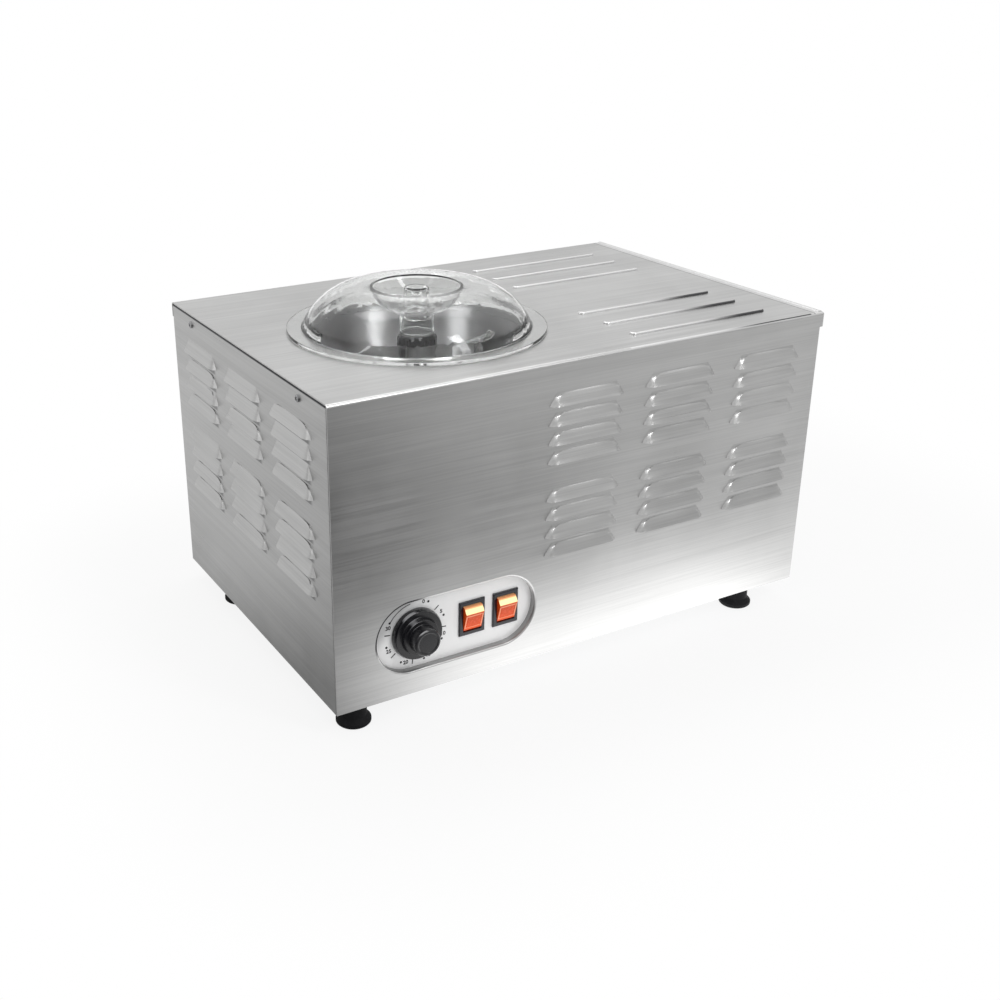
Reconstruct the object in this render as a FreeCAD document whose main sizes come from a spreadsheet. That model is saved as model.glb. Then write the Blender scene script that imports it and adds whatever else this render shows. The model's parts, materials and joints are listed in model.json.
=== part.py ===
import FreeCAD, Part
import math
import os
import types
import Sketcher
from FreeCAD import Placement, Rotation, Vector

os.makedirs("parts", exist_ok=True)
doc = FreeCAD.newDocument("ice_cream_machine")

# Driving dimensions in millimetres. The origin is on the floor below the centre of the casing,
# X runs along the front from left to right, Y runs from front to back and Z is up.
DIMENSIONS = [
    ("casing_length", 510.0, "outside, left panel to right panel"),
    ("casing_depth", 345.0, "outside, front sheet to rear flange"),
    ("casing_height", 276.0, "outside, without the feet"),
    ("foot_height", 22.0, "floor to the lower edge of the casing"),
    ("sheet", 1.2, "stainless steel of the casing"),
    ("bend_radius", 3.0, "outside radius of the folded edges"),
    ("panel_gap", 0.5, "gap around the side and rear panels"),
    ("panel_edge", 0.8, "rounded outer edge of the panels"),
    ("overhang", 5.5, "top sheet past the right panel"),
    ("drip_flange", 14.0, "height of the flanges folded down from the top"),
    ("hem_width", 6.0, "raised hem along the right edge of the top"),
    ("hem_rise", 1.2, "height of the hem above the top"),
    ("tab_length", 24.0, "folded tabs that take the panel screws"),
    ("tab_drop", 20.0, "height of those tabs below the top"),
    ("screw_spread", 120.0, "panel screws to each side of the middle"),
    ("screw_drop", 10.0, "panel screws below the top"),
    ("screw_radius", 2.0, "panel screw shank"),
    ("screw_head", 3.2, "panel screw head radius"),
    ("screw_dome", 1.6, "panel screw head height"),
    ("screw_reach", 7.0, "panel screw shank length"),
    ("screw_slack", 0.2, "screw hole past the shank"),
    ("louvre_length", 78.0, "open lower edge of a louvre"),
    ("louvre_taper", 8.0, "how much shorter a louvre is at each end of its top"),
    ("louvre_height", 12.0, "height of a louvre hood"),
    ("louvre_depth", 5.0, "how far the hood stands out"),
    ("louvre_pitch_x", 101.5, "between columns of louvres"),
    ("louvre_pitch_z", 17.4, "between louvres in a group"),
    ("louvre_group", 87.0, "between the lower and the upper group"),
    ("louvre_low", 98.4, "lowest louvre edge above the casing's lower edge"),
    ("front_louvre", 164.5, "middle louvre column of the front inside the casing's right side"),
    ("side_louvre", -1.5, "middle louvre column of a side, from the centre"),
    ("rear_louvre", 115.0, "right louvre column of the rear inside the casing's right side"),
    ("recess_side", 118.5, "middle of the control recess inside the casing's left side"),
    ("recess_length", 158.0, "control recess, end to end"),
    ("recess_height", 66.0, "control recess"),
    ("recess_depth", 6.5, "how deep the recess is drawn"),
    ("recess_round", 2.0, "rounded lip of the recess"),
    ("control_line", 55.0, "controls above the casing's lower edge"),
    ("knob_side", 79.5, "timer knob inside the casing's left side"),
    ("knob_radius", 23.6, "skirt of the knob"),
    ("knob_skirt", 6.5, "thickness of the skirt"),
    ("knob_step_radius", 17.5, "middle step of the knob"),
    ("knob_step", 5.0, "height of the middle step"),
    ("knob_grip_radius", 13.0, "grip of the knob"),
    ("knob_grip", 10.5, "height of the grip"),
    ("knob_gap", 0.5, "between the skirt and the recess floor"),
    ("knob_round", 1.2, "rounded edges of the knob"),
    ("timer_shaft", 3.0, "radius of the timer's shaft"),
    ("timer_reach", 14.0, "timer shaft past the recess floor"),
    ("timer_width", 44.0, "timer case, across"),
    ("timer_height", 40.0, "timer case, upright"),
    ("timer_length", 34.0, "timer case, behind the panel"),
    ("running_fit", 0.05, "radial clearance of turning shafts"),
    ("switch_side", 135.2, "first switch inside the casing's left side"),
    ("switch_pitch", 34.5, "between the two switches"),
    ("bezel_width", 26.0, "switch bezel, across"),
    ("bezel_height", 33.0, "switch bezel, upright"),
    ("bezel_thick", 2.0, "switch bezel in front of the recess floor"),
    ("bezel_frame", 3.7, "rim of the bezel around the rocker"),
    ("switch_snap", 2.0, "switch case inside the bezel's outline"),
    ("switch_depth", 26.0, "switch case behind the panel"),
    ("switch_wall", 1.4, "walls of the switch case"),
    ("rocker_gap", 0.3, "rocker to the switch case"),
    ("rocker_pivot", 5.5, "rocker pivot behind the bezel's face"),
    ("rocker_rise", 5.2, "rocker ridge in front of the bezel"),
    ("rocker_ridge", 6.3, "rocker ridge above the pivot"),
    ("rocker_proud", 1.8, "upper edge of the rocker in front of the bezel"),
    ("rocker_pin", 1.5, "radius of the rocker's pivot pins"),
    ("rocker_back", 4.0, "rocker behind its pivot"),
    ("bowl_side", 163.0, "bowl axis inside the casing's left side"),
    ("bowl_y", -22.0, "bowl axis, from the middle of the depth"),
    ("bowl_radius", 101.5, "inside"),
    ("bowl_depth", 104.0, "flange to floor"),
    ("bowl_wall", 1.5, "spun stainless steel"),
    ("bowl_corner", 12.0, "inside radius at the floor"),
    ("bowl_flange", 11.0, "width of the bowl's flange"),
    ("mouth_slack", 0.6, "cover opening past the inside of the bowl"),
    ("seal_thick", 1.0, "flat seal between the flange and the cover"),
    ("column_radius", 15.0, "outside of the bowl's centre column"),
    ("column_wall", 2.0, "wall of the centre column"),
    ("column_drop", 30.0, "top of the column below the flange"),
    ("jacket_drop", 16.0, "evaporator below the bowl's flange"),
    ("jacket_height", 72.0, "evaporator"),
    ("jacket_wall", 1.0, "evaporator sheet"),
    ("jacket_duct", 6.0, "refrigerant space of the evaporator"),
    ("foam_radius", 134.0, "outside of the insulation"),
    ("foam_base", 14.0, "insulation below the bowl"),
    ("seat_gap", 0.3, "between pieces that seat on each other"),
    ("rib_length", 155.0, "drain ribs on the top"),
    ("rib_width", 8.0, "drain ribs"),
    ("rib_rise", 2.0, "drain ribs above the top"),
    ("rib_round", 1.6, "rounded top of the ribs"),
    ("rib_side", 119.5, "middle of the ribs inside the casing's right side"),
    ("rib_pitch", 38.5, "between ribs in a group"),
    ("rib_front", -139.5, "foremost rib, from the centre"),
    ("rib_rear", 47.5, "foremost rib of the rear group, from the centre"),
    ("pan_rise", 1.0, "underside of the base pan above the casing's edge"),
    ("pan_sheet", 1.5, "base pan"),
    ("pan_flange", 16.0, "upturned flange of the base pan"),
    ("foot_left", 24.0, "left feet inside the casing's left side"),
    ("foot_right", 55.0, "right feet inside the casing's right side"),
    ("foot_front", 17.5, "front feet behind the front sheet"),
    ("foot_rear", 71.5, "rear feet in front of the casing's rear edge"),
    ("foot_radius", 15.5, "foot at the floor"),
    ("foot_neck", 11.5, "foot at the pan"),
    ("foot_disc", 4.5, "straight side of the foot's disc"),
    ("foot_screw", 3.0, "radius of the screw in a foot"),
    ("lid_radius", 117.5, "flange of the lid"),
    ("lid_flange", 2.7, "thickness of the lid's flange"),
    ("lid_seat", 0.3, "lid above the top sheet"),
    ("dome_radius", 104.0, "dome of the lid at its foot"),
    ("dome_arc", 60.0, "outside curve of the dome"),
    ("dome_rise", 36.0, "ring of the dome above its foot"),
    ("lid_wall", 2.4, "wall of the lid"),
    ("dome_shoulder", 6.2, "inside of the dome above its foot, where the skirt starts"),
    ("well_lip", 2.5, "rounded ring between the dome and the well"),
    ("well_flat", 22.0, "flat floor of the well"),
    ("cap_bore", 9.1, "hollow inside the feed cap"),
    ("skirt_gap", 1.0, "lid's skirt inside the bowl"),
    ("skirt_drop", 7.0, "lid's skirt below its flange"),
    ("well_radius", 42.0, "ring around the lid's well"),
    ("well_depth", 21.0, "lid's well below its ring"),
    ("well_arc", 34.0, "curve of the well's wall"),
    ("spout_radius", 16.0, "outside of the spout below the well"),
    ("spout_drop", 21.5, "spout below the well's floor"),
    ("plug_gap", 0.4, "feed cap inside the spout"),
    ("plug_drop", 9.0, "feed cap's plug below the well's floor"),
    ("cap_brim", 3.5, "feed cap past the spout's bore"),
    ("cap_thick", 2.0, "brim of the feed cap"),
    ("cap_grip", 11.5, "grip of the feed cap"),
    ("cap_grip_rise", 19.0, "grip above the well's floor"),
    ("cap_grip_round", 3.0, "rounded top of the grip"),
    ("gland_side", 50.0, "cord gland inside the casing's left side"),
    ("gland_line", 40.0, "cord gland above the casing's lower edge"),
    ("gland_thread", 8.0, "cord gland's thread radius"),
    ("gland_body", 11.0, "cord gland's hexagon, across its corners, as a radius"),
    ("gland_bore", 4.0, "cord gland's bore radius"),
    ("gland_flange", 4.0, "cord gland's hexagon, thickness"),
    ("gland_nose", 10.0, "cord gland's nose behind the hexagon"),
    ("gland_inside", 9.0, "cord gland's thread inside the rear panel"),
    ("shaft_radius", 8.0, "drive shaft"),
    ("shaft_engage", 24.0, "drive shaft inside the gearbox"),
    ("bearing_height", 9.0, "shaft bearings"),
    ("seal_height", 5.0, "shaft seal at the top of the column"),
    ("hub_gap", 0.5, "dasher hub around the column"),
    ("hub_wall", 3.0, "wall of the dasher's hub"),
    ("hub_cap", 8.0, "closed top of the hub"),
    ("hub_lift", 2.5, "hub's cap above the column"),
    ("pin_radius", 2.5, "drive pin across the shaft"),
    ("nut_radius", 18.0, "dasher nut"),
    ("nut_height", 16.0, "dasher nut"),
    ("nut_crown", 3.0, "dasher nut above the end of the shaft"),
    ("nut_flute", 1.5, "grip flutes of the nut"),
    ("blade_sweep", 22.0, "how far a blade's tip leads"),
    ("blade_tip", 92.0, "blade's tip from the axis"),
    ("blade_curve", 120.0, "curve of the blades in plan"),
    ("blade_sheet", 3.0, "thickness of the blades"),
    ("blade_height", 80.0, "blades"),
    ("blade_gap", 2.5, "blades above the bowl's floor"),
    ("window_inner", 34.0, "window in a blade, inner side from the axis"),
    ("window_outer", 80.0, "window in a blade, outer side from the axis"),
    ("window_low", 22.0, "window above the blade's lower edge"),
    ("window_high", 62.0, "top of the window above the blade's lower edge"),
    ("scraper_width", 9.0, "plastic scraper on a blade's tip, across"),
    ("scraper_thick", 4.0, "plastic scraper beyond the tip"),
    ("gearbox_radius", 46.0, "gearbox under the bowl"),
    ("gearbox_height", 40.0, "gearbox"),
    ("gearbox_boss", 20.0, "gearbox boss up to the bowl"),
    ("bracket_sheet", 3.0, "drive bracket"),
    ("bracket_span", 112.0, "drive bracket, front to rear"),
    ("bracket_width", 96.0, "drive bracket, across"),
    ("bracket_foot", 18.0, "turned-out feet of the drive bracket"),
    ("motor_radius", 40.0, "drive motor"),
    ("motor_cap", 34.0, "end cap of the drive motor"),
    ("motor_length", 82.0, "drive motor"),
    ("motor_cap_length", 9.0, "end cap of the drive motor"),
    ("compressor_side", 87.0, "compressor inside the casing's right side"),
    ("compressor_y", 68.0, "compressor, from the middle of the depth"),
    ("compressor_radius", 58.0, "compressor shell"),
    ("compressor_height", 128.0, "compressor shell"),
    ("compressor_dome", 30.0, "curved top of the shell"),
    ("compressor_seam", 3.0, "weld seam around the shell"),
    ("plate_length", 156.0, "compressor plate, across"),
    ("plate_depth", 116.0, "compressor plate, front to rear"),
    ("plate_sheet", 3.0, "compressor plate"),
    ("mount_radius", 9.0, "rubber mounts of the compressor"),
    ("mount_height", 12.0, "rubber mounts of the compressor"),
    ("mount_inset", 12.0, "rubber mounts from the plate's edges"),
    ("condenser_side", 108.0, "middle of the condenser inside the casing's right side"),
    ("condenser_front", 26.0, "condenser behind the front sheet"),
    ("condenser_width", 172.0, "condenser"),
    ("condenser_depth", 30.0, "condenser"),
    ("condenser_height", 216.0, "condenser"),
    ("fin_pitch", 8.0, "between the condenser's fins"),
    ("fin_gap", 5.0, "open width between two fins"),
    ("fin_depth", 11.0, "open depth between two fins"),
    ("fin_count", 20, "openings between the fins"),
    ("shroud_sheet", 2.0, "fan shroud"),
    ("shroud_ring", 14.0, "fan shroud's ring behind its plate"),
    ("fan_radius", 68.0, "tips of the fan"),
    ("fan_gap", 4.0, "fan inside the shroud's ring"),
    ("fan_hub", 16.0, "hub of the fan"),
    ("fan_hub_length", 26.0, "hub of the fan"),
    ("fan_chord", 34.0, "width of a fan blade"),
    ("fan_blade", 2.0, "thickness of a fan blade"),
    ("fan_motor_radius", 26.0, "fan motor"),
    ("fan_motor_length", 44.0, "fan motor"),
    ("fan_shaft", 4.0, "radius of the fan motor's shaft"),
    ("fan_bracket", 42.0, "width of the fan motor's bracket"),
    ("drier_radius", 9.0, "filter drier"),
    ("drier_length", 84.0, "filter drier"),
    ("drier_low", 60.0, "filter drier above the base pan"),
    ("pipe_radius", 4.0, "refrigerant pipes"),
    ("pipe_bend", 18.0, "bends of the refrigerant pipes, at their middle"),
    ("liquid_line", 22.0, "liquid pipe above the base pan"),
    ("suction_line", 98.0, "suction pipe above the base pan"),
    ("discharge_line", 38.0, "discharge pipe below the top"),
    ("terminal_width", 40.0, "compressor's terminal cover, across"),
    ("terminal_height", 44.0, "compressor's terminal cover, upright"),
    ("terminal_reach", 20.0, "compressor's terminal cover behind the shell"),
    ("terminal_low", 14.0, "compressor's terminal cover above the shell's base"),
    ("box_side", 77.0, "electrical box inside the casing's left side"),
    ("box_back", 68.5, "electrical box in front of the casing's rear edge"),
    ("box_length", 84.0, "electrical box, across"),
    ("box_depth", 58.0, "electrical box, front to rear"),
    ("box_height", 46.0, "electrical box"),
    ("box_wall", 2.0, "electrical box"),
    ("box_lid", 6.0, "cover of the electrical box"),
    ("capacitor_radius", 16.0, "motor capacitor"),
    ("capacitor_length", 60.0, "motor capacitor"),
    ("capacitor_side", 79.0, "motor capacitor inside the casing's left side"),
    ("capacitor_back", 152.5, "motor capacitor in front of the casing's rear edge"),
    ("spade_width", 4.8, "blade terminals of the switches"),
    ("spade_sheet", 0.8, "blade terminals of the switches"),
    ("spade_length", 8.0, "blade terminals of the switches"),
    ("spade_pitch", 8.0, "between the blade terminals of a switch"),
]

sheet = doc.addObject("Spreadsheet::Sheet", "Sizes")
for row, (alias, value, meaning) in enumerate(DIMENSIONS, start=1):
    sheet.set(f"A{row}", str(value))
    sheet.setAlias(f"A{row}", alias)
    sheet.set(f"B{row}", meaning)
doc.recompute()


class Size:
    """A length together with the spreadsheet expression that it comes from."""

    def __init__(self, value, text):
        self.value = float(value)
        self.text = text

    def __add__(self, other):
        other = as_size(other)
        return Size(self.value + other.value, f"({self.text} + {other.text})")

    def __sub__(self, other):
        other = as_size(other)
        return Size(self.value - other.value, f"({self.text} - {other.text})")

    def __mul__(self, other):
        other = as_size(other)
        return Size(self.value * other.value, f"({self.text} * {other.text})")

    def __truediv__(self, other):
        other = as_size(other)
        return Size(self.value / other.value, f"({self.text} / {other.text})")

    def __radd__(self, other):
        return as_size(other) + self

    def __rsub__(self, other):
        return as_size(other) - self

    def __rmul__(self, other):
        return as_size(other) * self

    def __neg__(self):
        return Size(-self.value, f"(0 - {self.text})")

    def root(self):
        return Size(math.sqrt(self.value), f"sqrt({self.text})")


def as_size(number):
    """A Size from a Size or from a plain number."""
    if isinstance(number, Size):
        return number
    return Size(number, f"({float(number):.6f})")


d = types.SimpleNamespace(**{alias: Size(value, f"Sizes.{alias}") for alias, value, meaning in DIMENSIONS})


# Modelling helpers: each one binds what it makes to the sizes.
def bind(thing, path, size):
    """Ties one property of an object to a size."""
    thing.setExpression(path, as_size(size).text)


def place(thing, at=(0, 0, 0), turn=None):
    """Puts an object at a point given in sizes, turned by a rotation."""
    thing.Placement = Placement(Vector(*(as_size(c).value for c in at)), turn or Rotation())
    for letter, coordinate in zip("xyz", at):
        bind(thing, f"Placement.Base.{letter}", coordinate)
    return thing


nodes = []


def new_body(label, at=(0, 0, 0), turn=None):
    """A body of its own, which becomes one named piece."""
    body = doc.addObject("PartDesign::Body", label)
    body.Label = label
    place(body, at, turn)
    nodes.append(body)
    return body


def drawing(body, name, role, offset=0):
    """A sketch on one of the body's own planes, moved along that plane's normal."""
    plane = [item for item in body.Origin.OriginFeatures if item.Role == role][0]
    sketch = body.newObject("Sketcher::SketchObject", f"{body.Name}_{name}")
    sketch.AttachmentSupport = [(plane, "")]
    sketch.MapMode = "FlatFace"
    sketch.AttachmentOffset = Placement(Vector(0, 0, as_size(offset).value), Rotation())
    bind(sketch, "AttachmentOffset.Base.z", offset)
    return sketch


def fix_point(sketch, edge, end, x, y):
    """Holds one point of an edge at x and y from the sketch's origin."""
    for kind, size in (("DistanceX", as_size(x)), ("DistanceY", as_size(y))):
        index = sketch.addConstraint(Sketcher.Constraint(kind, -1, 1, edge, end, size.value))
        bind(sketch, f"Constraints[{index}]", size)


def arc_between(start, end, radius, side):
    """The shorter arc from start to end, its centre to the left (1) or the right (-1) of the way."""
    chord = end - start
    across = Vector(-chord.y, chord.x, 0).normalize()
    reach = math.sqrt(max(radius**2 - chord.Length**2 / 4, 0))
    centre = (start + end) / 2 + across * (reach * side)
    middle = centre - across * (radius * side)
    return Part.Arc(start, middle, end)


def outline(sketch, corners, closed=True):
    """An outline. A corner is x, y, and also a radius and a side where an arc leads on from it."""
    points = [Vector(as_size(c[0]).value, as_size(c[1]).value, 0) for c in corners]
    count = len(corners)
    edges = []
    for index, corner in enumerate(corners if closed else corners[:-1]):
        start, end = points[index], points[(index + 1) % count]
        if len(corner) == 2:
            edges.append((sketch.addGeometry(Part.LineSegment(start, end)), 1, 2))
            continue
        radius, side = as_size(corner[2]), corner[3]
        edge = sketch.addGeometry(arc_between(start, end, radius.value, side))
        edges.append((edge, 1, 2) if side > 0 else (edge, 2, 1))
        held = sketch.addConstraint(Sketcher.Constraint("Radius", edge, radius.value))
        bind(sketch, f"Constraints[{held}]", radius)
    for index, (edge, first, last) in enumerate(edges):
        fix_point(sketch, edge, first, corners[index][0], corners[index][1])
        if closed or index + 1 < len(edges):
            following, begins, ends = edges[(index + 1) % count]
            sketch.addConstraint(Sketcher.Constraint("Coincident", edge, last, following, begins))
        else:
            fix_point(sketch, edge, last, corners[-1][0], corners[-1][1])


def rectangle(sketch, x, y, width, height):
    """A rectangle around a centre."""
    left, right = x - width / 2, x + width / 2
    low, high = y - height / 2, y + height / 2
    outline(sketch, [(left, low), (right, low), (right, high), (left, high)])


def circle(sketch, x, y, radius):
    """A circle around a centre."""
    radius = as_size(radius)
    centre = Vector(as_size(x).value, as_size(y).value, 0)
    edge = sketch.addGeometry(Part.Circle(centre, Vector(0, 0, 1), radius.value))
    held = sketch.addConstraint(Sketcher.Constraint("Radius", edge, radius.value))
    bind(sketch, f"Constraints[{held}]", radius)
    fix_point(sketch, edge, 3, x, y)


def slot(sketch, x, y, length, width):
    """A slot with round ends along the sketch's own x."""
    half = (length - width) / 2
    radius = width / 2
    across, up = as_size(x).value, as_size(y).value
    reach, wide = half.value, radius.value
    left, right = Vector(across - reach, up, 0), Vector(across + reach, up, 0)
    rise = Vector(0, wide, 0)
    bottom = sketch.addGeometry(Part.LineSegment(left - rise, right - rise))
    east = sketch.addGeometry(Part.Arc(right - rise, right + Vector(wide, 0, 0), right + rise))
    top = sketch.addGeometry(Part.LineSegment(right + rise, left + rise))
    west = sketch.addGeometry(Part.Arc(left + rise, left - Vector(wide, 0, 0), left - rise))
    ring = [bottom, east, top, west]
    for edge, following in zip(ring, ring[1:] + ring[:1]):
        sketch.addConstraint(Sketcher.Constraint("Tangent", edge, 2, following, 1))
    sketch.addConstraint(Sketcher.Constraint("Equal", east, west))
    held = sketch.addConstraint(Sketcher.Constraint("Radius", east, wide))
    bind(sketch, f"Constraints[{held}]", radius)
    fix_point(sketch, east, 3, x + half, y)
    fix_point(sketch, west, 3, x - half, y)


def feature(body, kind, sketch, name, length=None, both=False, flip=False):
    """A pad or a pocket of a sketch."""
    made = body.newObject(f"PartDesign::{kind}", f"{body.Name}_{name}")
    made.Profile = sketch
    if both:
        made.Midplane = True
    made.Reversed = flip
    made.Length = as_size(length).value
    bind(made, "Length", length)
    return made


def pad(body, sketch, name, length, **options):
    """Adds material to one side of a sketch, or to both."""
    return feature(body, "Pad", sketch, name, length, **options)


def pocket(body, sketch, name, length, **options):
    """Cuts material away behind a sketch."""
    return feature(body, "Pocket", sketch, name, length, **options)


def turned(body, name, corners, kind="Revolution", offset=0):
    """A profile in the upright XZ plane, turned about the body's Z axis."""
    sketch = drawing(body, f"{name}_profile", "XZ_Plane", offset)
    outline(sketch, corners)
    made = body.newObject(f"PartDesign::{kind}", f"{body.Name}_{name}")
    made.Profile = sketch
    made.ReferenceAxis = (sketch, ["V_Axis"])
    made.Angle = 360
    return made


def lofted(body, name, sections, kind="AdditiveLoft"):
    """A ruled loft from the first section to the last."""
    made = body.newObject(f"PartDesign::{kind}", f"{body.Name}_{name}")
    made.Profile = sections[0]
    made.Sections = sections[1:]
    made.Ruled = True
    return made


def axis_of(body, role):
    """One of the body's own axes."""
    return ([item for item in body.Origin.OriginFeatures if item.Role == role][0], [""])


def repeated(body, name, originals, steps):
    """Copies of features along straight lines. A step is an axis, its pitch and its count."""
    made = body.newObject("PartDesign::MultiTransform", f"{body.Name}_{name}")
    made.Originals = originals
    moves = []
    for axis, pitch, count in steps:
        move = doc.addObject("PartDesign::LinearPattern", f"{body.Name}_{name}_{axis[0].lower()}_{len(moves)}")
        body.addObject(move)
        move.Direction = axis_of(body, axis)
        move.Occurrences = count
        move.Length = as_size(pitch).value * (count - 1)
        bind(move, "Length", pitch * (count - 1))
        moves.append(move)
    made.Transformations = moves
    body.Tip = made
    return made


def rounded(body, name, base, radius, wanted):
    """Rounds the edges of the base feature that the test picks."""
    doc.recompute()
    edges = [f"Edge{i + 1}" for i, edge in enumerate(base.Shape.Edges) if wanted(edge.BoundBox)]
    made = body.newObject("PartDesign::Fillet", f"{body.Name}_{name}")
    made.Base = (base, edges)
    made.Radius = as_size(radius).value
    bind(made, "Radius", radius)
    return made


def near(a, b):
    """Whether two numbers agree to a hundredth of a millimetre."""
    return abs(a - as_size(b).value) < 0.01


# Places that several pieces share.
casing_low = d.foot_height
casing_top = d.foot_height + d.casing_height
front = -d.casing_depth / 2
rear = d.casing_depth / 2
left = -d.casing_length / 2
right = d.casing_length / 2
bowl_x = left + d.bowl_side
foot_lines_x = (left + d.foot_left, right - d.foot_right)
foot_lines_y = (front + d.foot_front, rear - d.foot_rear)
compressor_x = right - d.compressor_side
knob_x = left + d.knob_side
recess_x = left + d.recess_side
switch_x = left + d.switch_side
gland_x = left + d.gland_side
front_louvre_x = right - d.front_louvre
rear_louvre_x = right - d.rear_louvre
rib_x = right - d.rib_side
condenser_x = right - d.condenser_side
under_top = casing_top - d.sheet
control_height = casing_low + d.control_line
recess_floor = front + d.recess_depth
louvre_low = casing_low + d.louvre_low
screw_line = casing_top - d.screw_drop
bowl_top = under_top - d.seal_thick
bowl_floor = bowl_top - d.bowl_depth


# Louvres: a hood pressed out of the sheet, open along its lower edge, repeated over the panel.
def hood_outline(sketch, centre, face, length, taper, depth, root):
    """The plan of a hood: a straight lip that slopes down to the sheet in two flats at each end."""
    lip = face - depth
    shoulder, dip = taper * 2 / 5, face - depth * 2 / 3
    outline(sketch, [
        (centre - length / 2, face + root),
        (centre + length / 2, face + root),
        (centre + length / 2, face),
        (centre + length / 2 - shoulder, dip),
        (centre + length / 2 - taper, lip),
        (centre - length / 2 + taper, lip),
        (centre - length / 2 + shoulder, dip),
        (centre - length / 2, face),
    ])


def louvres(body, middle, face, columns, first_column):
    """Two groups of four louvres in each column, with the slots behind them."""
    thin = d.sheet / 4
    throat_taper, throat_depth = d.louvre_taper - d.sheet / 2, d.louvre_depth - d.sheet
    start = middle + first_column * d.louvre_pitch_x
    top_length = d.louvre_length - d.louvre_taper * 2
    low = drawing(body, "hood_lip", "XY_Plane", louvre_low)
    hood_outline(low, start, face, d.louvre_length, d.louvre_taper, d.louvre_depth, d.sheet / 2)
    high = drawing(body, "hood_top", "XY_Plane", louvre_low + d.louvre_height)
    hood_outline(high, start, face, top_length, d.louvre_taper * thin / d.louvre_depth, thin, d.sheet / 2)
    hood = lofted(body, "hood", [low, high])
    inner_low = drawing(body, "throat_lip", "XY_Plane", louvre_low)
    hood_outline(inner_low, start, face, d.louvre_length - d.sheet * 3, throat_taper, throat_depth, d.sheet * 2)
    inner_high = drawing(body, "throat_top", "XY_Plane", louvre_low + d.louvre_height - d.sheet * 2)
    hood_outline(inner_high, start, face, top_length - d.sheet, throat_taper * thin / throat_depth, thin,
                 d.sheet * 2)
    throat = lofted(body, "throat", [inner_low, inner_high], "SubtractiveLoft")
    steps = [("Z_Axis", d.louvre_pitch_z, 4), ("Z_Axis", d.louvre_group, 2)]
    if columns > 1:
        steps.append(("X_Axis", d.louvre_pitch_x, columns))
    return repeated(body, "louvres", [hood, throat], steps)


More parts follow.
